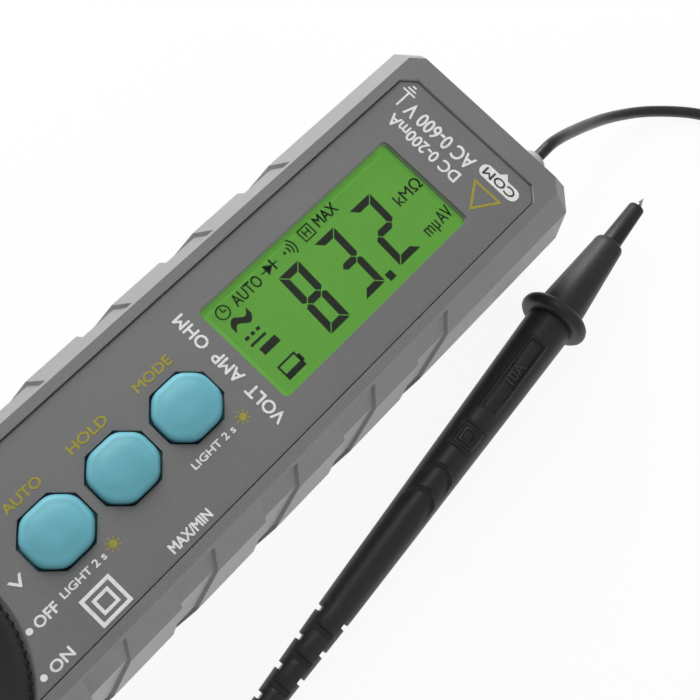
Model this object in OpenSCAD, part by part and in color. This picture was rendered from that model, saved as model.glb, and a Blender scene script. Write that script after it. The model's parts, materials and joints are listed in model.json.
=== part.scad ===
// Pen-type digital multimeter with a fixed lead and a hand probe.
// It lies on its back face, with the display up, the needle towards +Y and the lead end towards -Y.
// The origin is the middle of the back rest face. The modules count y from the end edge of the face.

/* [Case] */
// Height of the face above the rest face
face_z = 27.6; // [26:0.1:30]
// Width of the flat face
face_w = 29.7; // [27:0.1:32]
// Height of the lower edge of the upper side facet
shoulder_z = 24; // [22:0.1:25]
// Width at that edge
shoulder_w = 35.4; // [34:0.1:37]
// Height of the joint between the two case halves
seam_z = 15; // [14:0.1:16]
// Overall width, at the joint
body_w = 38; // [36:0.1:42]
// Height of the upper edge of the lower side facet
heel_z = 5; // [3:0.1:7]
// Width at that edge
heel_w = 36.4; // [35:0.1:37]
// Width of the back rest face
back_w = 29; // [27:0.1:31]
// Wall of the case
wall = 1.8; // [1.4:0.1:2.2]
// Gap left at the joint of the case halves
seam_gap = 0.1; // [0.05:0.05:0.2]
// How far the end wall stands out past the face edge, at the joint
end_out = 2.6; // [2.1:0.1:3]
// How far it stands out at the shoulder and at the heel
end_mid_out = 2; // [0.5:0.1:2]
// Where the rest face starts, from the face edge
rest_start = 1.5; // [0.5:0.1:3]
// Length of the case's rise from the end of the rest face to the nose opening
nose_rise = 19.5; // [17:0.5:22]
// Length of the slope from the face down to the nose opening
neck_l = 12; // [10:0.5:14]
// Width of the case at the nose opening
neck_w = 21; // [20:0.5:26]
// Corner cut at the face, as half width less the cut
corner_face = 13; // [12:0.1:14]
// Corner cut at the shoulder
corner_shoulder = 16.7; // [16:0.1:17.5]
// Corner cut at the joint
corner_seam = 18.8; // [18:0.1:19.5]

/* [Grips] */
// Depth of the hollows between the grip pads
grip_depth = 0.6; // [0.3:0.1:0.8]
// Start of the first hollow at the shoulder
grip_start = 28.5; // [24:0.5:32]
// Distance from one hollow to the next
grip_pitch = 15.3; // [14:0.1:18]
// Length of a hollow at the shoulder
grip_hollow = 7; // [6:0.1:9]
// Lean of a hollow's start per unit of height; its end leans half as much
grip_lean = 0.5; // [0:0.05:0.5]
// Number of hollows on each side
grip_count = 6; // [3:1:6]

/* [Face panel] */
// Width of the recess for the inlay
panel_w = 26.8; // [25:0.1:28]
// Start of the recess, from the face edge
panel_start = 3.6; // [3:0.1:5]
// How far the recess ends before the dial's axis, inside the dial's pocket
panel_back = 11; // [8:0.5:14]
// Corner cut of the recess
panel_cut = 1.9; // [1:0.1:3]
// Depth of the recess
panel_depth = 0.8; // [0.6:0.05:1]
// Thickness of the inlay
panel_t = 0.4; // [0.3:0.05:0.5]
// Gap round the inlay
panel_gap = 0.22; // [0.15:0.01:0.3]

/* [Display] */
// Width of the window
lcd_w = 16.7; // [15:0.1:18]
// Length of the window
lcd_l = 37.9; // [34:0.1:40]
// Start of the window, from the face edge
lcd_start = 14.5; // [13:0.1:16]
// Corner radius of the window
lcd_r = 0.8; // [0.5:0.1:2]
// Margin of the lens flange round the window
lens_flange = 1.5; // [1:0.1:1.6]
// Thickness of the lens flange
lens_flange_t = 0.8; // [0.6:0.1:1]
// How far the lens lies below the inlay
lens_sink = 0.35; // [0.2:0.05:0.6]
// Margin of the liquid crystal cell round the window
cell_margin = 1.2; // [1:0.1:1.3]
// Thickness of the liquid crystal cell
glass_t = 2.4; // [2:0.1:2.8]
// Wall of the display frame
frame_wall = 1.2; // [1:0.1:1.4]
// Width of the contact strip
strip_w = 1.4; // [1:0.1:1.6]

/* [Board] */
// Height of the board's top above the rest face
board_top = 20; // [19.5:0.1:20.5]
// Thickness of the board
board_t = 1.6; // [1.2:0.1:1.8]
// Width of the board
board_w = 30.6; // [28:0.1:31]
// Start of the board, from the face edge
board_start = 11; // [10.5:0.1:12]

/* [Buttons] */
// Width of a button
button_w = 8.5; // [7:0.1:9]
// Length of a button along the case
button_l = 9.4; // [8:0.1:9.6]
// Corner cut of a button
button_cut = 2.4; // [1:0.1:3]
// Height of a button's crown above the rest face
button_top = 28.9; // [28.4:0.1:29.5]
// Distance from the window to the first button, and from the last button to the dial
button_margin = 5.5; // [5:0.1:7]
// Distance from one button to the next button's edge
button_space = 1.85; // [1.8:0.05:2.6]
// Gap between a button and its hole
button_gap = 0.25; // [0.15:0.05:0.4]
// Radius of the crown
crown_r = 16; // [12:1:40]
// Travel of a button
button_travel = 0.5; // [0.3:0.1:0.6]

/* [Selector] */
// Radius of the dial, which stands free at both sides for the thumb
dial_r = 18.4; // [17:0.1:18.6]
// Width of the face left between the dial and the slope to the nose
dial_margin = 1.3; // [1:0.1:3]
// Height of the dial's disc above the rest face
dial_top = 27.9; // [27.7:0.1:28.2]
// Height of the finger bar
bar_top = 29.2; // [28.8:0.1:30]
// Width of the finger bar
bar_w = 6; // [4:0.1:8]
// Radius of the dial's shaft
shaft_r = 3; // [2.5:0.1:4]
// Radius of the rotor
rotor_r = 10.5; // [9:0.1:11]

/* [Batteries] */
// Diameter of a cell
cell_d = 10.5; // [10:0.1:10.5]
// Length of a cell over its nub
cell_l = 44.5; // [43:0.1:44.5]
// Start of the battery bay, from the face edge
bay_start = 12; // [12:0.1:13]
// Room for a battery spring
spring_l = 4.2; // [3.5:0.1:5]
// Thickness of the battery plates
plate_t = 0.4; // [0.3:0.1:0.5]
// Thickness of the battery door
door_t = 1.45; // [1.2:0.05:1.55]
// Travel of the battery door as it lifts off
door_travel = 12; // [8:1:20]

/* [Nose] */
// Length of the pull-off sleeve
sleeve_l = 19.6; // [15:0.1:24]
// Radius of the collar behind the finger guard
collar_r = 10; // [9:0.1:10.4]
// Radius of the finger guard
guard_r = 12.4; // [11:0.1:14]
// Radius of the cone at the guard
cone_r = 8; // [7:0.1:9]
// Radius of the cone at its front
cone_front_r = 3.4; // [3:0.1:4]
// Length of the cone in front of the guard
cone_l = 28; // [25:0.5:30]
// Radius of the needle
needle_r = 1; // [0.8:0.05:1.2]
// Length of bare needle at the point
needle_bare = 4; // [2:0.5:5]
// Radius of the pull-off sleeve at its root
sleeve_r = 2.6; // [2.2:0.1:3]

/* [Lead] */
// Diameter of the lead
lead_d = 2; // [1.8:0.1:2.2]
// Place of the lead's exit across the case
lead_x = -8; // [-8.4:0.1:-6]
// Radius of the collar's flange at the exit
exit_flange_r = 3.2; // [2.8:0.1:3.6]
// Radius of the collar's outer end
exit_end_r = 2.1; // [1.8:0.1:2.4]
// How far the collar reaches past the face edge
exit_out = 7.5; // [7.4:0.1:7.6]

/* [Probe] */
// Radius of the probe's guard disc
probe_guard_r = 5.85; // [5.5:0.05:6.2]
// Thickness of the guard disc
probe_guard_t = 2.4; // [2:0.1:3]
// Radius of the barrel at the guard
barrel_r = 3.95; // [3.6:0.05:4.2]
// Radius of the barrel at its tail
barrel_tail_r = 2.75; // [2.5:0.05:3]
// Distance from the guard's middle to the barrel's tail
barrel_l = 57.4; // [50:0.1:62]
// Length of the ribbed strain relief
relief_l = 28; // [24:0.5:32]
// Radius of the relief at its tail
relief_tail_r = 1.75; // [1.5:0.05:2]
// Distance from one relief slot to the next slot on the same sides
slot_pitch = 5; // [4:0.1:6]
// Width of a relief slot
slot_w = 1; // [0.6:0.1:1.4]
// Radius of the cone at the guard
probe_cone_r = 3.7; // [3.4:0.05:4]
// Radius of the cone at its front
probe_cone_front_r = 2.55; // [2.3:0.05:2.8]
// Distance from the guard's middle to the cone's front
probe_cone_l = 16.8; // [14:0.1:20]
// Length of the tip sleeve
tip_sleeve_l = 8.4; // [6:0.1:10]
// Radius of the tip sleeve at its root
tip_sleeve_r = 1.75; // [1.6:0.05:2]
// Radius of the tip sleeve at its end
tip_sleeve_end_r = 1.4; // [1.3:0.05:1.6]
// Radius of the probe's metal tip
tip_r = 0.6; // [0.5:0.05:1]
// Length of bare metal at the tip
tip_bare = 2.3; // [1.5:0.1:4]

/* [Hidden] */
$fn = 64;

// Overrun of cuts, and the clearances of running fits and of parts laid in their seats
over = 1;
fit = 0.05;
seat = 0.1;
ease = 0.3;

// Places along the case, each following from the one before it
dial_gap = 0.3;
button_pitch = button_l + button_space;
button_first = lcd_start + lcd_l + button_margin + button_l / 2;
button_y = [for (i = [0:2]) button_first + i * button_pitch];
dial_y = button_y[2] + button_l / 2 + button_margin + dial_gap + dial_r;
face_end = dial_y + dial_r + dial_gap + dial_margin;
case_l = face_end + neck_l;
rest_end = case_l - nose_rise;
panel_end = dial_y - panel_back;

// The case's outline across, seen from the needle, anticlockwise from the face's right edge
half_across = [[back_w / 2, 0], [heel_w / 2, heel_z], [body_w / 2, seam_z],
    [shoulder_w / 2, shoulder_z], [face_w / 2, face_z]];
across = concat(half_across, [for (i = [len(half_across) - 1:-1:0]) [-half_across[i][0], half_across[i][1]]]);
// The case's outline along, seen from its right side
along = [[rest_start, 0], [rest_end, 0], [case_l, seam_z - neck_w / 2], [case_l, seam_z + neck_w / 2],
    [face_end, face_z], [0, face_z], [-end_mid_out, shoulder_z], [-end_out, seam_z], [-end_mid_out, heel_z]];
// The case's outline from above
plan = [[body_w / 2 + over, -end_out - over], [body_w / 2 + over, face_end - over], [neck_w / 2, case_l],
    [-neck_w / 2, case_l], [-body_w / 2 - over, face_end - over], [-body_w / 2 - over, -end_out - over]];
// The corner cuts at the lead end, as the reach across the corner at each height
corner_reach = [[corner_face, face_z], [corner_shoulder, shoulder_z], [corner_seam, seam_z],
    [corner_shoulder, heel_z], [corner_face, 0]];
rest_mid = (rest_start + rest_end) / 2;
under_face = face_z - wall;
panel_top = face_z - panel_depth + panel_t;
lens_top = panel_top - lens_sink;
lcd_mid = lcd_start + lcd_l / 2;
glass_top = under_face - lens_flange_t - seat;
board_under = board_top - board_t;
board_margin = 22;
board_end = case_l - board_margin;

// Bay, cells and door
door_out = 0.6;
door_in = door_out + door_t;
door_rim = 0.8;
tab_half = 4;
tab_l = 4.4;
door_screw_l = 8;
bay_half = cell_d + ease + seat * 2;
bay_end = bay_start + plate_t * 2 + spring_l + cell_l;
door_y = bay_start - door_rim;
door_screw_y = door_y - tab_l / 2;
bay_wall = 2;
bay_top = seam_z - lead_d / 2;
bay_ceiling = 1;
cell_x = cell_d / 2 + ease;
cell_z = door_in + seat * 2 + cell_d / 2;
nub_l = 1.2;
nub_r = 1.9;
plate_half = 4.6;
plate_low = 4.5;
plate_high = 4;
spring_turns = 3;
spring_steps = 8;
spring_wire = 0.35;
spring_r = 2.2;
spring_spread = 1.4;
rib_count = 5;
rib_start = 4;
rib_pitch = 1.6;
rib_half = 6;
rib_depth = 0.5;

// Screws and their posts
screw_r = 1.1;
screw_head_r = 1.8;
screw_head_t = 1.6;
screw_l = 20;
screw_sink = 1;
post_r = 2.6;
small_screw_r = 0.9;
small_head_r = 1.7;
small_head_t = 1.2;
slot_half = 0.3;
slot_reach = 1.2;
slot_t = 0.7;
end_post = [11.9, 7.5];
nose_post_back = 16.5;
nose_post = [9.5, case_l - nose_post_back];
board_post_margin = 5.8;
board_post = [12.6, lcd_start + lcd_l + board_post_margin];
board_post_r = 2;
board_hole_l = 5;
board_screw_l = 5.2;

// Buttons, switches and their plungers
flange_margin = 0.55;
flange_side = 0.65;
flange_t = 0.9;
flange_top = under_face - ease;
switch_w = 6;
switch_t = 2.6;
plunger_r = 1.7;
plunger_low = 1;
plunger_l = 2.6;
plunger_bottom = board_top + plunger_low;
plunger_top = plunger_bottom + plunger_l;
stem_r = 2;

// Selector
dial_pocket = 1.4;
dial_seat = face_z - dial_pocket;
dial_floor_t = 1.6;
dial_boss_side = 1.5;
dial_boss_r = dial_r + dial_boss_side;
dial_boss_bottom = dial_seat - dial_floor_t;
rotor_top = dial_boss_bottom - ease;
rotor_t = 2.7;
rotor_bottom = rotor_top - rotor_t;
drive_w = 3.6;
bar_back = 1.2;
bar_r = dial_r - bar_back;
dial_thread = 4.5;
ball_r = 0.8;
ball_orbit = 8;
ball_z = dial_boss_bottom + ease - ball_r;
groove_r = 1;
wiper_t = 0.25;
wiper_w = 1.5;
wiper_orbit = 7;
wiper_half = 4;
wiper_foot = 1;

// Nose
guard_t = 2.5;
guard_edge = 0.6;
collar_l = 5;
spigot_r = 7;
flange_r = 8.6;
flange_l = 2.1;
flange_y = case_l - wall - seat - flange_l;
nose_in = 9;
guard_y = case_l + seat * 2 + collar_l;
cone_y = guard_y + guard_t;
cone_end = cone_y + cone_l;
lamp_r = 1.5;
lamp_off = 4.2;
lamp_l = 6.5;
lamp_sink = 0.7;
lamp_floor = 2.5;
lamp_back = 13;
lamp_y = cone_y + lamp_back;
needle_back = 2;
needle_y = case_l - nose_in - needle_back;
needle_tip = cone_end + seat + sleeve_l + needle_bare;
sleeve_end_r = 1.9;
sleeve_root_l = 2.9;
sleeve_step_l = 1;
sleeve_taper = 0.2;
point_l = 2.5;
contact_half = 1.5;
contact_t = 0.5;
contact_lap = 4;

// The lead's collar: how far it reaches in, its neck in the wall, and the step of its rim
exit_in = 1.4;
exit_neck_r = exit_flange_r - 0.6;
exit_rim = 1.2;
exit_step = 0.3;
exit_lean = exit_flange_r * (end_out - end_mid_out) / (shoulder_z - seam_z);
exit_seat = end_out - wall - seat - exit_lean;
clamp_half = 3;
clamp_l = 4;
clamp_rise = 2.6;
lead_reach = 13;

// The lead's route, in the middle of the lead. Both free stretches are points chosen by hand, in millimetres.
lead_r = lead_d / 2;
route_a = [[-8, -7.5, 15], [-8, -9.5, 15], [-8, -12.1, 14.7], [-8.3, -15.4, 13.2], [-8.8, -19.6, 10.6],
    [-9.5, -24.1, 7.9], [-10.5, -28.7, 5.4], [-12, -33.2, 3.4], [-14.2, -37.7, 2], [-17.3, -41.9, 1.3],
    [-21, -45.6, 1.1], [-25.3, -48.5, 1.1], [-30.1, -50.6, 1.1], [-35.3, -51.6, 1.1], [-40.5, -51.3, 1.1],
    [-45.9, -50.5, 1], [-50, -50.5, 1], [-53, -50.5, 1]];
coil_mid = [-55, -35];
coil_outer = 15.5;
coil_inner = 5.75;
coil_layer = 2.5;
coil_turns = 3.875;
coil_steps = 24;
coil_start = -90;
route_b = [[-70.5, -33, 3.5], [-70.5, -31, 3.5], [-70.6, -28.4, 3.4], [-71, -24.8, 3], [-71.8, -20, 2.3],
    [-73.3, -13.5, 1.5], [-75.6, -6, 1.2], [-78.2, 1.4, 1.1], [-81.1, 8.7, 1.1], [-83.8, 16.1, 1.1],
    [-85.8, 23.6, 1.1], [-86.6, 31.4, 1.1], [-85.6, 39.2, 1.1], [-82.2, 46.2, 1.1], [-76.6, 51.7, 1.1],
    [-70.6, 56.7, 1.1], [-64.9, 62.1, 1.1], [-60.2, 68.4, 1.1], [-56.9, 75.5, 1.1], [-55.3, 83.2, 1.1],
    [-54.2, 90.9, 1.1], [-51.7, 98.3, 1.1], [-46.1, 103.7, 1.1], [-39.9, 103.5, 1.2], [-37.2, 99.4, 1.4]];

// The probe lies with its guard and the end of its relief on the rest plane
probe_turn = 5.8;
recess_start = 6.3;
recess_end = 20;
recess_half = 1.3;
recess_t = 0.45;
relief_margin = 1.5;
relief_cut = 0.75;
cone_straight = 2;
socket_l = 10;
tip_point = 1.6;
probe_end = barrel_l + relief_l;
guard_chamfer = 0.8;
guard_flat = probe_guard_t / 2 - guard_chamfer;
probe_tilt = atan((probe_guard_r - relief_tail_r) / (probe_end - guard_flat));
probe_place = [-27.7, 6.2, probe_guard_r * cos(probe_tilt) + guard_flat * sin(probe_tilt)];
probe_axis = [-sin(probe_turn) * cos(probe_tilt), cos(probe_turn) * cos(probe_tilt), -sin(probe_tilt)];

function unit(v) = v / norm(v);

// The outline p, anticlockwise and convex, drawn in by d
function drawn_in(p, d) = [for (i = [0:len(p) - 1]) let (
    u = unit(p[i] - p[(i + len(p) - 1) % len(p)]), v = unit(p[(i + 1) % len(p)] - p[i]),
    nu = [-u[1], u[0]], nv = [-v[1], v[0]]) p[i] + d * (nu + nv) / (1 + nu * nv)];

// A rectangle with cut corners
function cut_box(x, y, c) = [[x - c, -y], [x, c - y], [x, y - c], [x - c, y], [c - x, y], [-x, y - c],
    [-x, c - y], [c - x, -y]];

// A point between b and c on the smooth curve through a, b, c and d
function curve_at(a, b, c, d, t) = (b * 2 + (c - a) * t + (a * 2 - b * 5 + c * 4 - d) * t * t
    + (b * 3 - a - c * 3 + d) * t * t * t) / 2;
function smooth(p, steps) = [for (i = [0:len(p) - 2]) let (
    a = p[max(i - 1, 0)], d = p[min(i + 2, len(p) - 1)]) for (k = [0:steps - 1])
    curve_at(a, p[i], p[i + 1], d, k / steps), p[len(p) - 1]];

// The coil: it spirals in on the bottom layer, climbs in the half turn where it reverses, and spirals out
coil_pitch = (coil_outer - coil_inner) / coil_turns;
function coil_r(t) = t < coil_turns ? coil_outer - coil_pitch * t
    : t < coil_turns + 0.5 ? coil_inner - coil_pitch * (0.25 - abs(t - coil_turns - 0.25))
    : coil_inner + coil_pitch * (t - coil_turns - 0.5);
function eased(k) = k * k * (3 - 2 * k);
function coil_z(t) = lead_r + coil_layer * eased(max(0, min(1, (t - coil_turns) * 2)));
function coil_angle(t) = coil_start - 360 * t;
function coil_at(t) = [coil_mid[0] + coil_r(t) * cos(coil_angle(t)),
    coil_mid[1] + coil_r(t) * sin(coil_angle(t)), coil_z(t)];
function coil_heading(t) = [sin(coil_angle(t)), -cos(coil_angle(t)), 0];
coil_total = coil_turns * 2 + 0.5;
coil_count = round(coil_total * coil_steps);
coil_turned = [for (i = [0:coil_count]) coil_at(coil_total * i / coil_count)];
coil_gap = min([for (i = [0:coil_count]) for (j = [i + coil_steps / 2:1:coil_count])
    norm(coil_turned[i] - coil_turned[j])]) - lead_d;
coil_path = concat([coil_at(0) - lead_d * coil_heading(0)], coil_turned,
    [coil_at(coil_total) + lead_d * coil_heading(coil_total)]);

// A tube of n sides swept along the points p, as one closed solid of triangles
module swept(p, r, n, up) {
    c = len(p);
    rings = [for (i = [0:c - 1]) let (
        t = unit(p[min(i + 1, c - 1)] - p[max(i - 1, 0)]), side = unit(cross(t, up)), top = cross(side, t))
        for (j = [0:n - 1]) p[i] + r * (cos(360 * j / n) * top + sin(360 * j / n) * side)];
    polyhedron(concat(rings, [p[0], p[c - 1]]), concat(
        [for (i = [0:c - 2]) for (j = [0:n - 1]) [i * n + j, (i + 1) * n + (j + 1) % n, (i + 1) * n + j]],
        [for (i = [0:c - 2]) for (j = [0:n - 1]) [i * n + j, i * n + (j + 1) % n, (i + 1) * n + (j + 1) % n]],
        [for (j = [0:n - 1]) [c * n, (j + 1) % n, j]],
        [for (j = [0:n - 1]) [c * n + 1, (c - 1) * n + j, (c - 1) * n + (j + 1) % n]]));
}

// Moves a piece from the case's own count to the part's frame
module in_place() {
    translate([0, -rest_mid, 0]) children();
}

// A block between two corners
module block(a, b) {
    translate(a) cube(b - a);
}

// A disc or bar along Y, from y0 to y1
module rod_y(x, z, y0, y1, r) {
    translate([x, y0, z]) rotate([-90, 0, 0]) cylinder(h = y1 - y0, r = r);
}

// An outline in y and z, drawn out along X to both sides
module side_slab(p, w) {
    rotate([90, 0, 90]) translate([0, 0, -w]) linear_extrude(2 * w) polygon(p);
}

// The case as a solid, with every face drawn in by d
module case_solid(d) {
    reach = case_l + end_out;
    intersection() {
        translate([0, case_l + over, 0]) rotate([90, 0, 0]) linear_extrude(reach + over * 2)
            polygon(drawn_in(across, d));
        side_slab(drawn_in(along, d), body_w);
        linear_extrude(face_z + over) polygon(drawn_in(plan, d));
        corner_slab(d);
        mirror([1, 0, 0]) corner_slab(d);
    }
}

// What lies inside one corner cut
module corner_slab(d) {
    k = sqrt(2);
    p = [[corner_face / k, 0], [corner_shoulder / k, heel_z], [corner_seam / k, seam_z],
        [corner_shoulder / k, shoulder_z], [corner_face / k, face_z], [-case_l, face_z], [-case_l, 0]];
    rotate([90, 0, -45]) translate([0, 0, -case_l * 2]) linear_extrude(case_l * 4) polygon(drawn_in(p, d));
}

// The hollows between the grip pads, on both sides
module grip_hollows() {
    z0 = heel_z + grip_depth;
    z1 = face_z - grip_depth;
    difference() {
        for (i = [0:grip_count - 1]) {
            y = grip_start + i * grip_pitch;
            side_slab([[y + (shoulder_z - z0) * grip_lean, z0],
                [y + grip_hollow + (shoulder_z - z0) * grip_lean / 2, z0],
                [y + grip_hollow - (z1 - shoulder_z) * grip_lean, z1],
                [y - (z1 - shoulder_z) * grip_lean, z1]], body_w);
        }
        case_solid(grip_depth);
    }
}

// A rectangle with round corners, between two heights
module round_block(x, y, r, z0, z1) {
    translate([0, 0, z0]) linear_extrude(z1 - z0) union() {
        square([2 * x - 2 * r, 2 * y], center = true);
        square([2 * x, 2 * y - 2 * r], center = true);
        for (i = [-1, 1]) for (j = [-1, 1]) translate([i * (x - r), j * (y - r)]) circle(r);
    }
}

// The outline of a button, grown by g
module button_outline(g) {
    polygon(drawn_in(cut_box(button_w / 2, button_l / 2, button_cut), -g));
}

module panel_outline(d) {
    polygon(drawn_in([[panel_w / 2 - panel_cut, panel_start], [panel_w / 2, panel_start + panel_cut],
        [panel_w / 2, panel_end - panel_cut], [panel_w / 2 - panel_cut, panel_end],
        [panel_cut - panel_w / 2, panel_end], [-panel_w / 2, panel_end - panel_cut],
        [-panel_w / 2, panel_start + panel_cut], [panel_cut - panel_w / 2, panel_start]], d));
}

// What goes through the face: the window, the buttons and the dial's pocket
module face_holes(z0, z1) {
    translate([0, lcd_mid, 0]) round_block(lcd_w / 2, lcd_l / 2, lcd_r, z0, z1);
    for (y = button_y) translate([0, y, z0]) linear_extrude(z1 - z0) button_outline(button_gap);
}

module screw_posts(z0, z1, r) {
    for (s = [-1, 1]) for (p = [end_post, nose_post])
        translate([s * p[0], p[1], z0]) cylinder(h = z1 - z0, r = r);
}

module front_shell() in_place() color("#8f9092") difference() {
    union() {
        difference() {
            case_solid(0);
            case_solid(wall);
        }
        intersection() {
            union() {
                screw_posts(seam_z, under_face + wall / 2, post_r);
                for (s = [-1, 1]) translate([s * board_post[0], board_post[1], board_top])
                    cylinder(h = under_face - board_top + wall / 2, r = board_post_r);
                translate([0, dial_y, dial_boss_bottom])
                    cylinder(h = under_face - dial_boss_bottom, r = dial_boss_r);
            }
            case_solid(wall / 2);
        }
    }
    block([-body_w, -body_w, -over], [body_w, case_l + over, seam_z + seam_gap / 2]);
    grip_hollows();
    translate([0, 0, face_z - panel_depth]) linear_extrude(panel_depth + over) panel_outline(0);
    face_holes(under_face - over, face_z + over);
    translate([0, dial_y, dial_seat]) cylinder(h = dial_pocket + over, r = dial_r + dial_gap);
    translate([0, dial_y, dial_boss_bottom - over]) cylinder(h = face_z, r = shaft_r + fit);
    translate([0, dial_y, dial_boss_bottom]) rotate_extrude() translate([ball_orbit, 0]) circle(groove_r);
    screw_posts(seam_z - over, screw_sink + screw_head_t + screw_l, screw_r);
    for (s = [-1, 1]) translate([s * board_post[0], board_post[1], board_top - over])
        cylinder(h = board_hole_l, r = small_screw_r);
    nose_hole();
    exit_hole();
}

// The round openings at both ends, for the nose and for the lead's collar
module nose_hole() {
    rod_y(0, seam_z, case_l - wall - over, case_l + over, spigot_r + seat);
}

module exit_hole() {
    rod_y(lead_x, seam_z, -end_out - over, wall, exit_neck_r + seat);
}

module back_shell() in_place() color("#a6a7a8") difference() {
    union() {
        difference() {
            case_solid(0);
            case_solid(wall);
        }
        intersection() {
            union() {
                screw_posts(0, seam_z, post_r);
                block([-bay_half - bay_wall, bay_start - bay_wall, 0],
                    [bay_half + bay_wall, bay_end + bay_wall, bay_top]);
                block([-tab_half, door_y - tab_l, 0], [tab_half, bay_start, door_screw_l + bay_wall]);
            }
            case_solid(0);
        }
    }
    block([-body_w, -body_w, seam_z - seam_gap / 2], [body_w, case_l + over, face_z + over]);
    grip_hollows();
    block([-bay_half, bay_start, -over], [bay_half, bay_end, bay_top - bay_ceiling]);
    block([-bay_half - door_rim - seat, door_y - seat, -over],
        [bay_half + door_rim + seat, bay_end + door_rim + seat, door_in + fit]);
    block([-tab_half - seat, door_y - tab_l - seat, -over], [tab_half + seat, bay_start, door_in + fit]);
    translate([0, door_screw_y, -over])
        cylinder(h = over + door_out + door_screw_l + ease, r = small_screw_r + fit);
    screw_posts(-over, seam_z + over, screw_r + fit);
    screw_posts(-over, screw_sink + screw_head_t, screw_head_r + seat);
    nose_hole();
    exit_hole();
}

module face_panel() in_place() color("#747577") difference() {
    translate([0, 0, face_z - panel_depth]) linear_extrude(panel_t) panel_outline(panel_gap);
    face_holes(face_z - panel_depth - over, face_z + over);
    translate([0, dial_y, face_z - panel_depth - over])
        cylinder(h = panel_depth + 2 * over, r = dial_r + dial_gap + panel_gap);
}

module lcd_window() in_place() color("#d8e4dc") translate([0, lcd_mid, 0]) union() {
    round_block(lcd_w / 2 - seat, lcd_l / 2 - seat, lcd_r - seat, under_face - lens_flange_t / 2, lens_top);
    round_block(lcd_w / 2 + lens_flange, lcd_l / 2 + lens_flange, lcd_r, glass_top, under_face);
}

module lcd_glass() in_place() color("#5d9e3c") translate([0, lcd_mid, 0])
    block([-lcd_w / 2 - cell_margin, -lcd_l / 2 - cell_margin, glass_top - glass_t],
        [lcd_w / 2 + cell_margin, lcd_l / 2 + cell_margin, glass_top]);

module lcd_frame() in_place() color("#e6e6e2") translate([0, lcd_mid, 0]) difference() {
    x = lcd_w / 2 + cell_margin + seat;
    y = lcd_l / 2 + cell_margin + seat;
    block([-x - frame_wall, -y - frame_wall, board_top], [x + frame_wall, y + frame_wall, glass_top]);
    block([-x, -y, board_top - over], [x, y, glass_top + over]);
}

module contact_strip() in_place() color("#3a3a3a") translate([0, lcd_mid, 0])
    block([lcd_w / 2 + cell_margin - strip_w, -lcd_l / 2, board_top],
        [lcd_w / 2 + cell_margin, lcd_l / 2, glass_top - glass_t]);

module backlight() in_place() color("#f2f4ea") translate([0, lcd_mid, 0])
    block([-lcd_w / 2 - cell_margin, -lcd_l / 2, board_top],
        [lcd_w / 2 + cell_margin - strip_w - ease, lcd_l / 2 - wall, glass_top - glass_t]);

led_half = 3;
led_t = 1.4;

module backlight_led() in_place() color("#dfe6c8") translate([0, lcd_mid, 0])
    block([-led_half, lcd_l / 2 - wall + seat, board_top],
        [led_half, lcd_l / 2 + cell_margin - ease, board_top + led_t]);

module main_board() in_place() color("#2f6b3c") difference() {
    block([-board_w / 2, board_start, board_under], [board_w / 2, board_end, board_top]);
    for (s = [-1, 1]) translate([s * board_post[0], board_post[1], board_under - over])
        cylinder(h = board_t + 2 * over, r = small_screw_r + fit);
}

chip_at = [-4, 36];
chip_w = 10;
chip_t = 1.5;

module meter_chip() in_place() color("#26262a") block([chip_at[0], chip_at[1], board_under - chip_t],
    [chip_at[0] + chip_w, chip_at[1] + chip_w, board_under]);

// Resistors and capacitors under the board, as [x, y, width, length, height]
part_rows = [[-12, 26, 3, 1.6, 0.8], [-12, 30, 3, 1.6, 0.8], [-12, 34, 3, 1.6, 0.8], [-12, 38, 3.2, 2.6, 1.6],
    [9, 30, 1.6, 3, 0.8], [11.5, 30, 1.6, 3, 0.8], [9, 50, 3, 1.6, 0.8], [-6, 52, 4.5, 3.2, 2],
    [-12, 100, 6.3, 3.2, 1.8], [-3, 94, 3.2, 6.3, 2.4]];

module small_parts() in_place() color("#c9a35c") for (q = part_rows)
    block([q[0], q[1], board_under - q[4]], [q[0] + q[2], q[1] + q[3], board_under]);

// The fuse and its clips lie under the board, past the battery bay
fuse_r = 2.5;
fuse_l = 20;
fuse_cap = 5;
fuse_x = 9;
fuse_margin = 10.5;
fuse_y = bay_end + fuse_margin;
fuse_drop = 3.4;
fuse_z = board_under - fuse_drop;
clip_side = 0.5;
clip_in = 1;
clip_l = 3;

module fuse() in_place() color("#d9d3c0") translate([fuse_x, fuse_y, fuse_z]) union() {
    rod_y(0, 0, 0, fuse_l, fuse_r - seat);
    for (y = [0, fuse_l - fuse_cap]) rod_y(0, 0, y, y + fuse_cap, fuse_r);
}

module fuse_clips() in_place() color("#c8b070") translate([fuse_x, fuse_y, fuse_z])
    for (y = [clip_in, fuse_l - clip_in - clip_l]) difference() {
        block([-fuse_r - clip_side, y, -fuse_r / 2], [fuse_r + clip_side, y + clip_l, board_under - fuse_z]);
        rod_y(0, 0, -over, fuse_l + over, fuse_r + fit);
    }

module switch_bodies() in_place() color("#3b3b3e") for (y = button_y) translate([0, y, 0]) difference() {
    block([-switch_w / 2, -switch_w / 2, board_top], [switch_w / 2, switch_w / 2, board_top + switch_t]);
    translate([0, 0, plunger_bottom - button_travel - seat]) cylinder(h = switch_t, r = plunger_r + fit);
}

module plunger(i) in_place() color("#8c2f2a") translate([0, button_y[i], plunger_bottom])
    cylinder(h = plunger_top - plunger_bottom, r = plunger_r);

module select_plunger() plunger(0);
module hold_plunger() plunger(1);
module range_plunger() plunger(2);

buzzer_x = -7;
buzzer_r = 6;
buzzer_t = 3.5;
buzzer_hole_r = 1;
buzzer_hole_t = 0.8;

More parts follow.
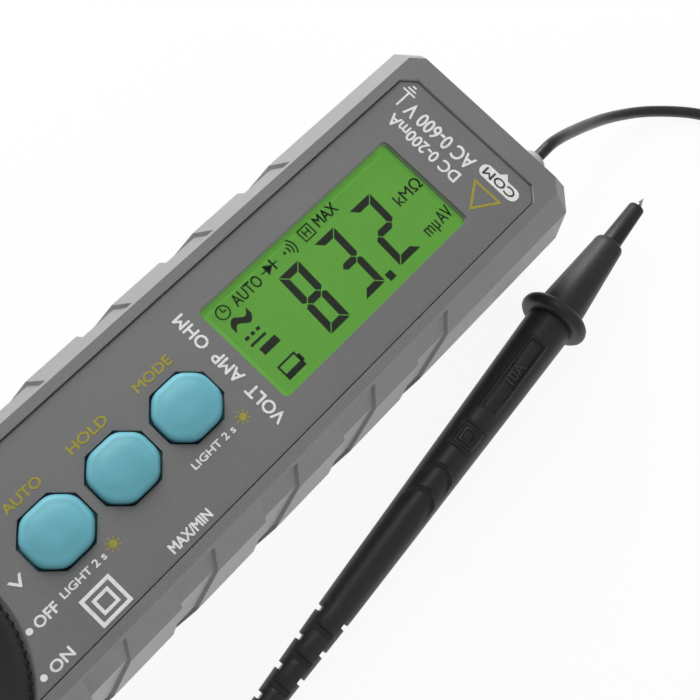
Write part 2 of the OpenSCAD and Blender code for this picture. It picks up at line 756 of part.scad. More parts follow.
module buzzer() in_place() color("#1f1f22") translate([buzzer_x, fuse_y + fuse_l / 2, board_under - buzzer_t])
    difference() {
        cylinder(h = buzzer_t, r = buzzer_r);
        translate([0, 0, -over]) cylinder(h = over + buzzer_hole_t, r = buzzer_hole_r);
    }

module board_screws() in_place() color("#b9bbbd") for (s = [-1, 1])
    translate([s * board_post[0], board_post[1], board_under - small_head_t]) union() {
        cylinder(h = small_head_t, r = small_head_r);
        cylinder(h = small_head_t + board_screw_l, r = small_screw_r);
    }

module button(i) in_place() color("#6fb4c2") translate([0, button_y[i], 0]) union() {
    intersection() {
        translate([0, 0, flange_top - flange_t])
            linear_extrude(button_top - flange_top + flange_t) button_outline(0);
        translate([0, 0, button_top - crown_r]) sphere(r = crown_r);
    }
    block([-button_w / 2 - flange_side, -button_l / 2 - flange_margin, flange_top - flange_t],
        [button_w / 2 + flange_side, button_l / 2 + flange_margin, flange_top]);
    translate([0, 0, plunger_top]) cylinder(h = flange_top - plunger_top, r = stem_r);
}

module select_button() button(0);
module hold_button() button(1);
module range_button() button(2);

// Everything that turns with the dial is built round the dial's axis, at the middle position
module at_dial() {
    in_place() translate([0, dial_y, 0]) children();
}

module selector_dial() at_dial() color("#2c2d30") difference() {
    union() {
        translate([0, 0, dial_seat + seat]) cylinder(h = dial_top - dial_seat - seat, r = dial_r);
        intersection() {
            block([-bar_w / 2, -bar_r, dial_top - over], [bar_w / 2, bar_r, bar_top]);
            translate([0, 0, dial_top - over]) cylinder(h = bar_top, r = bar_r);
        }
        translate([0, 0, rotor_top]) cylinder(h = dial_seat - rotor_top + over, r = shaft_r);
        block([-drive_w / 2, -drive_w / 2, rotor_bottom + over], [drive_w / 2, drive_w / 2, rotor_top + over]);
    }
    translate([0, 0, rotor_bottom]) cylinder(h = dial_thread + ease, r = small_screw_r);
}

module dial_screw() at_dial() color("#b9bbbd") translate([0, 0, rotor_bottom - small_head_t]) union() {
    cylinder(h = small_head_t, r = small_head_r);
    cylinder(h = small_head_t + dial_thread, r = small_screw_r);
}

module selector_rotor() at_dial() color("#e9e7df") difference() {
    translate([0, 0, rotor_bottom]) cylinder(h = rotor_t, r = rotor_r);
    block([-drive_w / 2 - fit, -drive_w / 2 - fit, rotor_bottom + over - fit],
        [drive_w / 2 + fit, drive_w / 2 + fit, rotor_top + over]);
    translate([0, 0, rotor_bottom - over]) cylinder(h = rotor_t, r = small_screw_r + fit);
    translate([0, -ball_orbit, rotor_bottom + ease]) cylinder(h = rotor_t, r = ball_r + fit);
}

module rotor_contacts() at_dial() color("#c8a24a") for (s = [-1, 1]) union() {
    block([s * wiper_orbit - wiper_w / 2, -wiper_half, rotor_bottom - wiper_t],
        [s * wiper_orbit + wiper_w / 2, wiper_half, rotor_bottom]);
    for (y = [-wiper_half, wiper_half - wiper_foot])
        block([s * wiper_orbit - wiper_w / 2, y, board_top + fit],
            [s * wiper_orbit + wiper_w / 2, y + wiper_foot, rotor_bottom]);
}

module detent_ball() at_dial() color("#c6c8ca") translate([0, -ball_orbit, ball_z]) sphere(r = ball_r);

module detent_spring() at_dial() color("#a9abad")
    translate([0, -ball_orbit, rotor_bottom + ease]) difference() {
    cylinder(h = ball_z - ball_r - rotor_bottom - ease, r = ball_r - seat);
    translate([0, 0, -over]) cylinder(h = rotor_t + over, r = ball_r / 2);
}

module case_screws() in_place() color("#b9bbbd") for (s = [-1, 1]) for (p = [end_post, nose_post])
    translate([s * p[0], p[1], screw_sink]) union() {
        difference() {
            cylinder(h = screw_head_t, r = screw_head_r);
            block([-slot_half, -slot_reach, -over], [slot_half, slot_reach, slot_t]);
            block([-slot_reach, -slot_half, -over], [slot_reach, slot_half, slot_t]);
        }
        translate([0, 0, screw_head_t / 2]) cylinder(h = screw_head_t / 2 + screw_l - ease, r = screw_r);
    }

module battery_door() in_place() color("#9b9c9e") difference() {
    union() {
        block([-bay_half - door_rim, door_y, door_out], [bay_half + door_rim, bay_end + door_rim, door_in]);
        block([-tab_half, door_y - tab_l, door_out], [tab_half, bay_start, door_in]);
    }
    translate([0, door_screw_y, -over]) cylinder(h = door_in + 2 * over, r = small_screw_r + fit);
    translate([0, door_screw_y, -over])
        cylinder(h = over + door_out + small_head_t / 2, r = small_head_r + fit);
    for (i = [0:rib_count - 1]) translate([0, bay_end - rib_start - i * rib_pitch, door_out - over])
        block([-rib_half, 0, 0], [rib_half, rib_pitch / 2, over + rib_depth]);
}

module door_screw() in_place() color("#b9bbbd") translate([0, door_screw_y, door_out]) union() {
    difference() {
        cylinder(h = small_head_t / 2, r = small_head_r);
        block([-slot_reach, -slot_half, -over], [slot_reach, slot_half, slot_t / 2]);
    }
    cylinder(h = door_screw_l, r = small_screw_r);
}

// A cell with its nub at the far end
module cell() {
    rod_y(0, 0, 0, cell_l - nub_l, cell_d / 2);
    rod_y(0, 0, cell_l - nub_l - over, cell_l, nub_r);
}

module cell_a() in_place() color("#3a6fae")
    translate([-cell_x, bay_start + plate_t + spring_l, cell_z]) union() cell();

module cell_b() in_place() color("#3a6fae") translate([cell_x, bay_end - plate_t - spring_l, cell_z])
    rotate([0, 0, 180]) union() cell();

// A coiled battery spring that widens from the cell to its plate
spring_count = spring_turns * spring_steps;
function spring_path(l) = [for (i = [0:spring_count])
    let (s = i / spring_count, r = spring_r + spring_spread * s, a = 360 * i / spring_steps)
    [r * cos(a), spring_wire + (l - 2 * spring_wire) * s, r * sin(a)]];

module battery_springs() in_place() color("#b9bbbd") union() {
    translate([-cell_x, bay_start + plate_t + spring_l, cell_z]) rotate([0, 0, 180])
        swept(spring_path(spring_l), spring_wire, 6, [0, 1, 0]);
    translate([cell_x, bay_end - plate_t - spring_l, cell_z])
        swept(spring_path(spring_l), spring_wire, 6, [0, 1, 0]);
}

module battery_plates() in_place() color("#b9bbbd") union() {
    block([-bay_half + ease, bay_start, cell_z - plate_low],
        [bay_half - ease, bay_start + plate_t, cell_z + plate_high]);
    for (s = [-1, 1]) translate([s * cell_x, 0, cell_z])
        block([-plate_half, bay_end - plate_t, -plate_low], [plate_half, bay_end, plate_high]);
}

module nose_cone() in_place() color("#2b2c2e") difference() {
    translate([0, 0, seam_z]) rotate([-90, 0, 0]) rotate_extrude() polygon([
        [0, case_l - nose_in], [spigot_r, case_l - nose_in], [spigot_r, flange_y], [flange_r, flange_y],
        [flange_r, flange_y + flange_l], [spigot_r, flange_y + flange_l], [spigot_r, case_l + seat * 2],
        [collar_r, case_l + seat * 2], [collar_r, guard_y], [cone_r, guard_y], [cone_r, cone_y],
        [cone_front_r, cone_end], [0, cone_end]]);
    rod_y(0, seam_z, case_l - nose_in - over, cone_end + over, needle_r + fit / 2);
    rod_y(0, seam_z + lamp_off, lamp_y - lamp_l - seat, lamp_y + over, lamp_r + fit);
    block([-cone_r, lamp_y, seam_z + lamp_floor], [cone_r, cone_end + over, seam_z + cone_r]);
}

module finger_guard() in_place() color("#232426")
    translate([0, 0, seam_z]) rotate([-90, 0, 0]) rotate_extrude()
    polygon([[cone_r + fit, guard_y + fit], [guard_r - guard_edge, guard_y + fit],
        [guard_r, guard_y + guard_edge], [guard_r, cone_y - guard_edge], [guard_r - guard_edge, cone_y],
        [cone_r + fit, cone_y]]);

module nose_needle() in_place() color("#c9cbcd")
    translate([0, 0, seam_z]) rotate([-90, 0, 0]) rotate_extrude()
    polygon([[0, needle_y], [needle_r, needle_y], [needle_r, needle_tip - point_l], [0, needle_tip]]);

module nose_sleeve() in_place() color("#1f2022")
    translate([0, 0, seam_z]) rotate([-90, 0, 0]) rotate_extrude()
    polygon([[needle_r + fit, cone_end + seat], [sleeve_r, cone_end + seat],
        [sleeve_r, cone_end + seat + sleeve_root_l],
        [sleeve_end_r, cone_end + seat + sleeve_root_l + sleeve_step_l],
        [sleeve_end_r - sleeve_taper, needle_tip - needle_bare],
        [needle_r + fit, needle_tip - needle_bare]]);

module needle_contact() in_place() color("#c8a24a") union() {
    block([-contact_half, board_end - contact_lap, board_under - contact_t],
        [contact_half, needle_y, board_under]);
    block([-contact_half, needle_y - contact_t, seam_z - contact_half],
        [contact_half, needle_y, board_under]);
}

module lamp_led() in_place() color("#f4f5f0") union() {
    rod_y(0, seam_z + lamp_off, lamp_y - lamp_l, lamp_y - lamp_sink, lamp_r);
    translate([0, lamp_y - lamp_sink, seam_z + lamp_off]) sphere(r = lamp_r);
}

module lead_collar() in_place() color("#b4b5b6")
    translate([lead_x, 0, seam_z]) rotate([90, 0, 0]) rotate_extrude()
    polygon([[0, -exit_in], [exit_flange_r, -exit_in], [exit_flange_r, exit_seat],
        [exit_neck_r, exit_seat], [exit_neck_r, end_out + seat], [exit_flange_r, end_out + seat],
        [exit_flange_r, end_out + exit_rim], [exit_end_r + exit_step, end_out + exit_rim + exit_step],
        [exit_end_r, exit_out], [0, exit_out]]);

module lead_clamp() in_place() color("#2d2e30") difference() {
    block([lead_x - clamp_half, bay_start, bay_top],
        [lead_x + clamp_half, bay_start + clamp_l, seam_z + clamp_rise]);
    rod_y(lead_x, seam_z, 0, bay_start * 2, lead_r + fit / 2);
    block([lead_x - lead_r - fit / 2, 0, bay_top - over],
        [lead_x + lead_r + fit / 2, bay_start * 2, seam_z]);
}

module lead_inner() in_place() color("#232325") union() {
    rod_y(lead_x, seam_z, wall, board_start + lead_reach, lead_r);
    translate([lead_x, board_start + lead_reach, seam_z]) sphere(r = lead_r);
    translate([lead_x, board_start + lead_reach, seam_z]) cylinder(h = board_under - seam_z, r = lead_r);
}

module lead_free_a() in_place() color("#202022") swept(smooth(route_a, 2), lead_r, 8, [0, 0, 1]);

module lead_coil() in_place() color("#202022") swept(coil_path, lead_r, 6, [0, 0, 1]);

// The last stretch runs straight into the relief
tail_points = [for (k = [2:-1:0]) probe_place + (probe_end + k * lead_d) * probe_axis];

module lead_free_b() in_place() color("#202022")
    swept(smooth(concat(route_b, tail_points), 2), lead_r, 8, [0, 0, 1]);

// Pieces of the probe are built along Y from the middle of its guard, with the tail towards +Y
module on_probe() {
    in_place() translate(probe_place) rotate([-probe_tilt, 0, probe_turn]) children();
}

module turned(p) {
    rotate([-90, 0, 0]) rotate_extrude() polygon(p);
}

module probe_relief() on_probe() color("#242527") difference() {
    turned([[0, barrel_l], [barrel_tail_r, barrel_l], [relief_tail_r, probe_end], [0, probe_end]]);
    for (i = [0:floor(relief_l / slot_pitch)]) for (k = [0, 1]) {
        y = barrel_l + relief_margin + i * slot_pitch + k * slot_pitch / 2;
        core = barrel_tail_r + (relief_tail_r - barrel_tail_r) * (y - barrel_l) / relief_l - relief_cut;
        if (y + slot_w < probe_end - relief_margin) rotate([0, 90 * k, 0])
            for (s = [0, 180]) rotate([0, s, 0]) block([core, y, -barrel_r], [barrel_r, y + slot_w, barrel_r]);
    }
}

module probe_barrel() on_probe() color("#2b2c2e") difference() {
    turned([[0, probe_guard_t / 2], [barrel_r, probe_guard_t / 2], [barrel_tail_r, barrel_l], [0, barrel_l]]);
    block([-recess_half, recess_start, barrel_r - recess_t], [recess_half, recess_end, barrel_r + over]);
}

module probe_guard() on_probe() color("#2b2c2e") turned([[0, -probe_guard_t / 2],
    [probe_guard_r - guard_chamfer, -probe_guard_t / 2],
    [probe_guard_r, -guard_flat], [probe_guard_r, guard_flat],
    [probe_guard_r - guard_chamfer, probe_guard_t / 2], [0, probe_guard_t / 2]]);

module probe_cone() on_probe() color("#2b2c2e") difference() {
    turned([[0, -probe_cone_l], [probe_cone_front_r, -probe_cone_l],
        [probe_cone_r, -probe_guard_t / 2 - cone_straight],
        [probe_cone_r, -probe_guard_t / 2], [0, -probe_guard_t / 2]]);
    rod_y(0, 0, -probe_cone_l - over, -probe_cone_l + socket_l, tip_r + fit / 2);
}

module probe_needle() on_probe() color("#d6d8da") {
    tip = probe_cone_l + seat + tip_sleeve_l + tip_bare;
    turned([[0, -tip], [tip_r, -tip + tip_point],
        [tip_r, -probe_cone_l + socket_l], [0, -probe_cone_l + socket_l]]);
}

module probe_sleeve() on_probe() color("#1f2022") turned([
    [tip_r + fit, -probe_cone_l - seat - tip_sleeve_l],
    [tip_sleeve_end_r, -probe_cone_l - seat - tip_sleeve_l],
    [tip_sleeve_r, -probe_cone_l - seat], [tip_r + fit, -probe_cone_l - seat]]);

echo(str("Least gap of the coil to itself: ", coil_gap, " mm"));

front_shell();
back_shell();
face_panel();
lcd_window();
battery_door();
door_screw();
case_screws();
lcd_glass();
lcd_frame();
contact_strip();
backlight();
backlight_led();
main_board();
meter_chip();
small_parts();
fuse();
fuse_clips();
switch_bodies();
select_plunger();
hold_plunger();
range_plunger();
buzzer();
board_screws();
select_button();
hold_button();
range_button();
selector_dial();
dial_screw();
selector_rotor();
rotor_contacts();
detent_ball();
detent_spring();
cell_a();
cell_b();
battery_springs();
battery_plates();
nose_cone();
finger_guard();
nose_needle();
nose_sleeve();
needle_contact();
lamp_led();
lead_collar();
lead_clamp();
lead_inner();
lead_free_a();
lead_coil();
lead_free_b();
probe_relief();
probe_barrel();
probe_guard();
probe_cone();
probe_needle();
probe_sleeve();
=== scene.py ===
# Pen-type multimeter: lead, finishes, printed face, lit display, buttons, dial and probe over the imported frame
import json
import math
import bpy
from mathutils import Vector, Matrix


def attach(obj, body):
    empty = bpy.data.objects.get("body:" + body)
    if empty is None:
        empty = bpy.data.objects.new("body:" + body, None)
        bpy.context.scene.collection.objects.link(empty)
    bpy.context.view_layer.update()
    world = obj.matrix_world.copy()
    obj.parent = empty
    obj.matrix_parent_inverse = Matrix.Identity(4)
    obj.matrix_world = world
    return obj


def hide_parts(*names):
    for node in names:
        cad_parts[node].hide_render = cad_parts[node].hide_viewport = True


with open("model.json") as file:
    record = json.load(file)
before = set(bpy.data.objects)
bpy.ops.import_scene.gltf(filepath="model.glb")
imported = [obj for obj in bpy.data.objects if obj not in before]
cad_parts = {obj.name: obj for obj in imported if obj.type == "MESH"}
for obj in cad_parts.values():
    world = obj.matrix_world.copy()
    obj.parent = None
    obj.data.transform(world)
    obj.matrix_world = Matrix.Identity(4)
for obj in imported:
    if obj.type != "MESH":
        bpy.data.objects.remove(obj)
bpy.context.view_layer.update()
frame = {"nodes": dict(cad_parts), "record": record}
nodes = frame["nodes"]
scene = bpy.context.scene
restMiddle = 64.0  # mm from the end edge of the face to the middle of the rest face


def at(x, y, z):
    # millimetres counted from the end edge of the face, to metres in the part's frame
    return Vector((x, y - restMiddle, z)) / 1000


# camera
camera = {
    "eye": (-22.21, 91.91, 174.35),
    "right": (-0.7226, -0.6703, 0.169),
    "forward": (0.08, -0.3239, -0.9427),
    "lens": 59.14,
}


def placeCamera():
    forward = Vector(camera["forward"]).normalized()
    right = Vector(camera["right"])
    right = (right - right.dot(forward) * forward).normalized()
    up = right.cross(forward)
    turn = Matrix((right, up, -forward)).transposed().to_4x4()
    data = bpy.data.cameras.new("photoCamera")
    data.lens = camera["lens"]
    data.sensor_width = 36
    data.clip_start = 0.005
    data.clip_end = 20
    obj = bpy.data.objects.new("photoCamera", data)
    obj.matrix_world = Matrix.Translation(at(*camera["eye"])) @ turn
    scene.collection.objects.link(obj)
    scene.camera = obj


placeCamera()
print("camera placed")


# material helpers
def newMaterial(name, colour, roughness, metallic=0.0, specular=0.5):
    mat = bpy.data.materials.new(name)
    mat.use_nodes = True
    tree = mat.node_tree
    shader = tree.nodes["Principled BSDF"]
    shader.inputs["Base Color"].default_value = (*colour, 1)
    shader.inputs["Roughness"].default_value = roughness
    shader.inputs["Metallic"].default_value = metallic
    shader.inputs["Specular IOR Level"].default_value = specular
    return mat, tree, shader


def noiseAt(tree, size, detail=3.0, rough=0.55, stretch=(1, 1, 1)):
    coord = tree.nodes.new("ShaderNodeTexCoord")
    mapping = tree.nodes.new("ShaderNodeMapping")
    mapping.inputs["Scale"].default_value = stretch
    tex = tree.nodes.new("ShaderNodeTexNoise")
    tex.inputs["Scale"].default_value = 1000 / size  # size in mm
    tex.inputs["Detail"].default_value = detail
    tex.inputs["Roughness"].default_value = rough
    tree.links.new(coord.outputs["Object"], mapping.inputs["Vector"])
    tree.links.new(mapping.outputs["Vector"], tex.inputs["Vector"])
    return tex.outputs["Fac"]


def ramp(tree, source, low, high, start=0.3, end=0.7):
    stops = tree.nodes.new("ShaderNodeValToRGB")
    stops.color_ramp.elements[0].position = start
    stops.color_ramp.elements[0].color = (*low, 1)
    stops.color_ramp.elements[1].position = end
    stops.color_ramp.elements[1].color = (*high, 1)
    tree.links.new(source, stops.inputs["Fac"])
    return stops.outputs["Color"]


def spread(tree, source, low, high, start=0.3, end=0.7):
    rng = tree.nodes.new("ShaderNodeMapRange")
    rng.inputs["From Min"].default_value = start
    rng.inputs["From Max"].default_value = end
    rng.inputs["To Min"].default_value = low
    rng.inputs["To Max"].default_value = high
    tree.links.new(source, rng.inputs["Value"])
    return rng.outputs["Result"]


def bumpFrom(tree, shader, source, depth, strength=0.6):
    bump = tree.nodes.new("ShaderNodeBump")
    bump.inputs["Strength"].default_value = strength
    bump.inputs["Distance"].default_value = depth / 1000
    tree.links.new(source, bump.inputs["Height"])
    tree.links.new(bump.outputs["Normal"], shader.inputs["Normal"])


def shade(colour, amount):
    return tuple(min(1.0, c * amount) for c in colour)


def multiply(tree, a, b):
    mix = tree.nodes.new("ShaderNodeMix")
    mix.data_type = "RGBA"
    mix.blend_type = "MULTIPLY"
    mix.inputs["Factor"].default_value = 1
    tree.links.new(a, mix.inputs["A"])
    tree.links.new(b, mix.inputs["B"])
    return mix.outputs["Result"]


# painted light and shade by how far the surface turns up: each stop gives the share of the colour at one tilt of the
# surface
def paintedShadingByTilt(tree, shares):
    coord = tree.nodes.new("ShaderNodeTexCoord")
    split = tree.nodes.new("ShaderNodeSeparateXYZ")
    tree.links.new(coord.outputs["Normal"], split.inputs["Vector"])
    stops = tree.nodes.new("ShaderNodeValToRGB")
    while len(stops.color_ramp.elements) < len(shares):
        stops.color_ramp.elements.new(0.5)
    for element, (tilt, share) in zip(stops.color_ramp.elements, shares):
        element.position = tilt
        element.color = (share, share, share, 1)
    tree.links.new(split.outputs["Z"], stops.inputs["Fac"])
    return stops.outputs["Color"]


# moulded plastic: spark-eroded grain, faint cloudiness of the colour and handled patches in the gloss; with tilt
# given, painted light and shade by how far the surface turns up
def mouldedPlastic(name, colour, roughness=0.5, grain=0.35, depth=0.03, cloud=0.07, specular=0.45, strength=0.5,
                   tilt=None):
    mat, tree, shader = newMaterial(name, colour, roughness, specular=specular)
    clouds = noiseAt(tree, 14, 2)
    specks = noiseAt(tree, grain, 2, 0.6)
    tone = ramp(tree, clouds, shade(colour, 1 - cloud), shade(colour, 1 + cloud))
    tone = multiply(tree, tone, ramp(tree, specks, (0.88,) * 3, (1.0,) * 3))
    if tilt:
        tone = multiply(tree, tone, paintedShadingByTilt(tree, tilt))
    tree.links.new(tone, shader.inputs["Base Color"])
    tree.links.new(spread(tree, clouds, roughness - 0.05, roughness + 0.06), shader.inputs["Roughness"])
    bumpFrom(tree, shader, specks, depth, strength)
    return mat


# plain metal with drawn or brushed lines along one axis
def drawnMetal(name, colour, roughness=0.3, along=(1, 0.04, 1), size=0.25, depth=0.004):
    mat, tree, shader = newMaterial(name, colour, roughness, metallic=1.0)
    lines = noiseAt(tree, size, 4, 0.6, along)
    patches = noiseAt(tree, 6, 2)
    tree.links.new(ramp(tree, lines, shade(colour, 0.86), shade(colour, 1.08)), shader.inputs["Base Color"])
    tree.links.new(spread(tree, patches, roughness - 0.06, roughness + 0.1), shader.inputs["Roughness"])
    bumpFrom(tree, shader, lines, depth, 0.5)
    return mat


finishes = {
    # the case: painted light on its walls, the upright walls get all of the grey and the level face much less
    "case": mouldedPlastic("caseGrey", (0.42, 0.42, 0.424), 0.5, 0.3, 0.035, 0.04,
                           tilt=((0.3, 1.0), (0.62, 0.67), (0.8, 0.62), (0.97, 0.39))),
    "case_back": mouldedPlastic("caseBackGrey", (0.3, 0.3, 0.303), 0.52, 0.35, 0.04, 0.04),
    "inlay": mouldedPlastic("inlayGrey", (0.152, 0.152, 0.153), 0.5, 0.22, 0.02, 0.03),
    "black_plastic": mouldedPlastic("satinBlack", (0.02, 0.02, 0.021), 0.62, 0.3, 0.02, specular=0.25),
    "sleeve_black": mouldedPlastic("sleeveBlack", (0.016, 0.016, 0.017), 0.4, 0.5, 0.02),
    "probe_black": mouldedPlastic("probeBlack", (0.024, 0.024, 0.025), 0.45, 0.4, 0.02, specular=0.55),
    "collar_grey": mouldedPlastic("collarGrey", (0.42, 0.42, 0.43), 0.45, 0.3, 0.02),
    "white_plastic": mouldedPlastic("naturalWhite", (0.74, 0.74, 0.71), 0.4, 0.6, 0.01),
    "plunger_red": mouldedPlastic("plungerRed", (0.26, 0.03, 0.02), 0.35, 0.4, 0.01),
    "strip_rubber": mouldedPlastic("stripRubber", (0.04, 0.04, 0.04), 0.75, 0.2, 0.02),
    "chip": mouldedPlastic("chipBlack", (0.02, 0.02, 0.022), 0.6, 0.12, 0.01),
    "parts_tan": mouldedPlastic("partsTan", (0.58, 0.37, 0.11), 0.35, 0.5, 0.01, 0.15),
    "fuse_ceramic": mouldedPlastic("fuseCeramic", (0.7, 0.65, 0.53), 0.25, 0.8, 0.005, 0.05),
    "led_white": mouldedPlastic("clearResin", (0.8, 0.81, 0.75), 0.12, 1.5, 0.005, 0.03),
    "screws": drawnMetal("zincScrew", (0.56, 0.56, 0.57), 0.35, (1, 1, 0.1), 0.2),
    "spring_steel": drawnMetal("springSteel", (0.5, 0.5, 0.51), 0.28, (1, 1, 1), 0.4),
    "needle_steel": drawnMetal("needleSteel", (0.66, 0.66, 0.68), 0.2, (1, 0.03, 1), 0.12),
    "contact_brass": drawnMetal("contactBrass", (0.66, 0.47, 0.18), 0.3),
}


# soft teal rubber of the buttons: fine matt grain, with painted shade on the steep sides and painted light on the
# rounded edges, which come out paler than the crown
def buttonRubber():
    colour = (0.148, 0.45, 0.54)
    mat, tree, shader = newMaterial("buttonTeal", colour, 0.5, specular=0.35)
    clouds = noiseAt(tree, 5, 2)
    specks = noiseAt(tree, 0.18, 2, 0.6)
    tone = ramp(tree, clouds, shade(colour, 0.95), shade(colour, 1.05))
    # painted shade and light by tilt: steep sides darkest, rounded edges brightest, crown a little darker
    tone = multiply(tree, tone, paintedShadingByTilt(tree, ((0.15, 0.4), (0.5, 0.85), (0.85, 1.0), (0.985, 0.84))))
    tree.links.new(tone, shader.inputs["Base Color"])
    tree.links.new(spread(tree, clouds, 0.42, 0.55), shader.inputs["Roughness"])
    shader.inputs["Subsurface Weight"].default_value = 0.15
    shader.inputs["Subsurface Radius"].default_value = (0.0006, 0.0012, 0.0014)
    bumpFrom(tree, shader, specks, 0.012, 0.5)
    return mat


crystal = {
    "colour": (0.119, 0.345, 0.053),
    "middle": 33.45,
    "halfWidth": 8.4,
    "halfLength": 19.0,
    "rim": (0.99, 1.03),  # where the glow falls off into the painted shade of the rim, as shares of the half sizes
    # share of the glow left at the rim: painted shade
    "rimPaintedShade": 0.8,
    "glow": 1.07,
}


# green crystal cell behind a fine electrode haze: it glows as a backlit cell, and the glow also stands in for light
# where the window recess shades it; its rim is darker, a painted shade of the recess wall
def litCrystal():
    colour = crystal["colour"]
    mat, tree, shader = newMaterial("litGreen", colour, 0.35, specular=0.3)
    coord = tree.nodes.new("ShaderNodeTexCoord")
    mapping = tree.nodes.new("ShaderNodeMapping")
    mapping.inputs["Location"].default_value = (0, (restMiddle - crystal["middle"]) / crystal["halfLength"], 0)
    mapping.inputs["Scale"].default_value = (1000 / crystal["halfWidth"], 1000 / crystal["halfLength"], 0)
    split = tree.nodes.new("ShaderNodeSeparateXYZ")
    tree.links.new(coord.outputs["Object"], mapping.inputs["Vector"])
    tree.links.new(mapping.outputs["Vector"], split.inputs["Vector"])
    sides = []
    for axis in ("X", "Y"):
        far = tree.nodes.new("ShaderNodeMath")
        far.operation = "ABSOLUTE"
        tree.links.new(split.outputs[axis], far.inputs[0])
        sides.append(far.outputs[0])
    edge = tree.nodes.new("ShaderNodeMath")
    edge.operation = "MAXIMUM"
    tree.links.new(sides[0], edge.inputs[0])
    tree.links.new(sides[1], edge.inputs[1])
    tree.links.new(ramp(tree, edge.outputs[0], shade(colour, 0.2), shade(colour, 0.15), *crystal["rim"]),
                   shader.inputs["Base Color"])
    tree.links.new(ramp(tree, edge.outputs[0], colour, shade(colour, crystal["rimPaintedShade"]), *crystal["rim"]),
                   shader.inputs["Emission Color"])
    shader.inputs["Emission Strength"].default_value = crystal["glow"]
    bumpFrom(tree, shader, noiseAt(tree, 0.5, 2), 0.004, 0.3)
    return mat


def clearLens():
    mat, tree, shader = newMaterial("windowClear", (0.03, 0.06, 0.03), 0.08, specular=0.5)
    shader.inputs["Alpha"].default_value = 0.08
    shader.inputs["IOR"].default_value = 1.49
    tree.links.new(spread(tree, noiseAt(tree, 9, 2), 0.05, 0.12), shader.inputs["Roughness"])
    return mat


# solder mask over copper: lighter tracks run along and across the board
def circuitBoard():
    mat, tree, shader = newMaterial("boardGreen", (0.025, 0.12, 0.045), 0.32)
    coord = tree.nodes.new("ShaderNodeTexCoord")
    tracks = tree.nodes.new("ShaderNodeTexBrick")
    tracks.inputs["Scale"].default_value = 220
    tracks.inputs["Mortar Size"].default_value = 0.03
    tracks.inputs["Color1"].default_value = (0.02, 0.1, 0.035, 1)
    tracks.inputs["Color2"].default_value = (0.028, 0.13, 0.05, 1)
    tracks.inputs["Mortar"].default_value = (0.05, 0.22, 0.08, 1)
    tree.links.new(coord.outputs["Object"], tracks.inputs["Vector"])
    tree.links.new(tracks.outputs["Color"], shader.inputs["Base Color"])
    tree.links.new(spread(tree, noiseAt(tree, 3), 0.25, 0.4), shader.inputs["Roughness"])
    bumpFrom(tree, shader, tracks.outputs["Fac"], 0.03)
    return mat


# printed metal jacket of a cell: blue body with a dark band towards the plus end
def cellJacket():
    blue, dark = (0.05, 0.15, 0.4), (0.03, 0.03, 0.035)
    bandStart, bandEnd = -0.0265, -0.0255  # metres along the case
    mat, tree, shader = newMaterial("cellBlue", blue, 0.3, metallic=0.6)
    coord = tree.nodes.new("ShaderNodeTexCoord")
    split = tree.nodes.new("ShaderNodeSeparateXYZ")
    tree.links.new(coord.outputs["Object"], split.inputs["Vector"])
    band = spread(tree, split.outputs["Y"], 0, 1, bandStart, bandEnd)
    tree.links.new(ramp(tree, band, blue, dark, 0.4, 0.6), shader.inputs["Base Color"])
    tree.links.new(spread(tree, noiseAt(tree, 4), 0.25, 0.38), shader.inputs["Roughness"])
    return mat


# glossy jacket of the lead: smooth vinyl with a faint drawn waviness
def leadVinyl():
    mat, tree, shader = newMaterial("leadVinyl", (0.018, 0.018, 0.019), 0.3, specular=0.6)
    clouds = noiseAt(tree, 3, 2)
    tree.links.new(ramp(tree, clouds, (0.015, 0.015, 0.016), (0.023, 0.023, 0.024)), shader.inputs["Base Color"])
    tree.links.new(spread(tree, clouds, 0.26, 0.38), shader.inputs["Roughness"])
    bumpFrom(tree, shader, noiseAt(tree, 1.2, 2), 0.004, 0.15)
    return mat


def printInk(name, colour):
    mat, tree, shader = newMaterial(name, colour, 0.5, specular=0.3)
    wear = noiseAt(tree, 0.5, 3)
    tree.links.new(ramp(tree, wear, shade(colour, 0.84), colour, 0.3, 0.5), shader.inputs["Base Color"])
    tree.links.new(spread(tree, wear, 0.45, 0.6), shader.inputs["Roughness"])
    return mat


finishes["button_teal"] = buttonRubber()
finishes["crystal"] = litCrystal()
finishes["lens"] = clearLens()
finishes["board"] = circuitBoard()
finishes["cell_jacket"] = cellJacket()
finishes["lead_black"] = leadVinyl()
whiteInk = printInk("whiteInk", (0.72, 0.72, 0.71))
yellowInk = printInk("yellowInk", (0.3, 0.275, 0.035))
paintedHighlightBlack = mouldedPlastic("paintedHighlightBlack", (0.07, 0.07, 0.072), 0.35, 0.4, 0.02)  # raised figures: the same black, painted paler as a painted highlight on their raised faces
darkInk = printInk("darkInk", (0.05, 0.05, 0.05))
crystalInk = printInk("crystalInk", (0.008, 0.012, 0.006))
print("finishes made:", len(finishes))

for part in frame["record"]["subparts"]:
    mesh = nodes[part["node"]].data
    mesh.materials.clear()
    mesh.materials.append(finishes[part["material_slot"]])


# piece helpers
def addPiece(name, verts, faces, material, body, smooth=0.0):
    mesh = bpy.data.meshes.new(name)
    mesh.from_pydata([tuple(v) for v in verts], [], faces)
    mesh.validate()
    mesh.materials.append(material)
    obj = bpy.data.objects.new(name, mesh)
    scene.collection.objects.link(obj)
    if smooth:
        for face in mesh.polygons:
            face.use_smooth = True
        mesh.set_sharp_from_angle(angle=math.radians(smooth))
    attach(obj, body)
    return obj


def ringFaces(rows, columns):
    # quads between rings of the same number of points
    faces = []
    for i in range(rows - 1):
        for k in range(columns):
            p, q = i * columns + k, i * columns + (k + 1) % columns
            faces.append((p, q, q + columns, p + columns))
    return faces


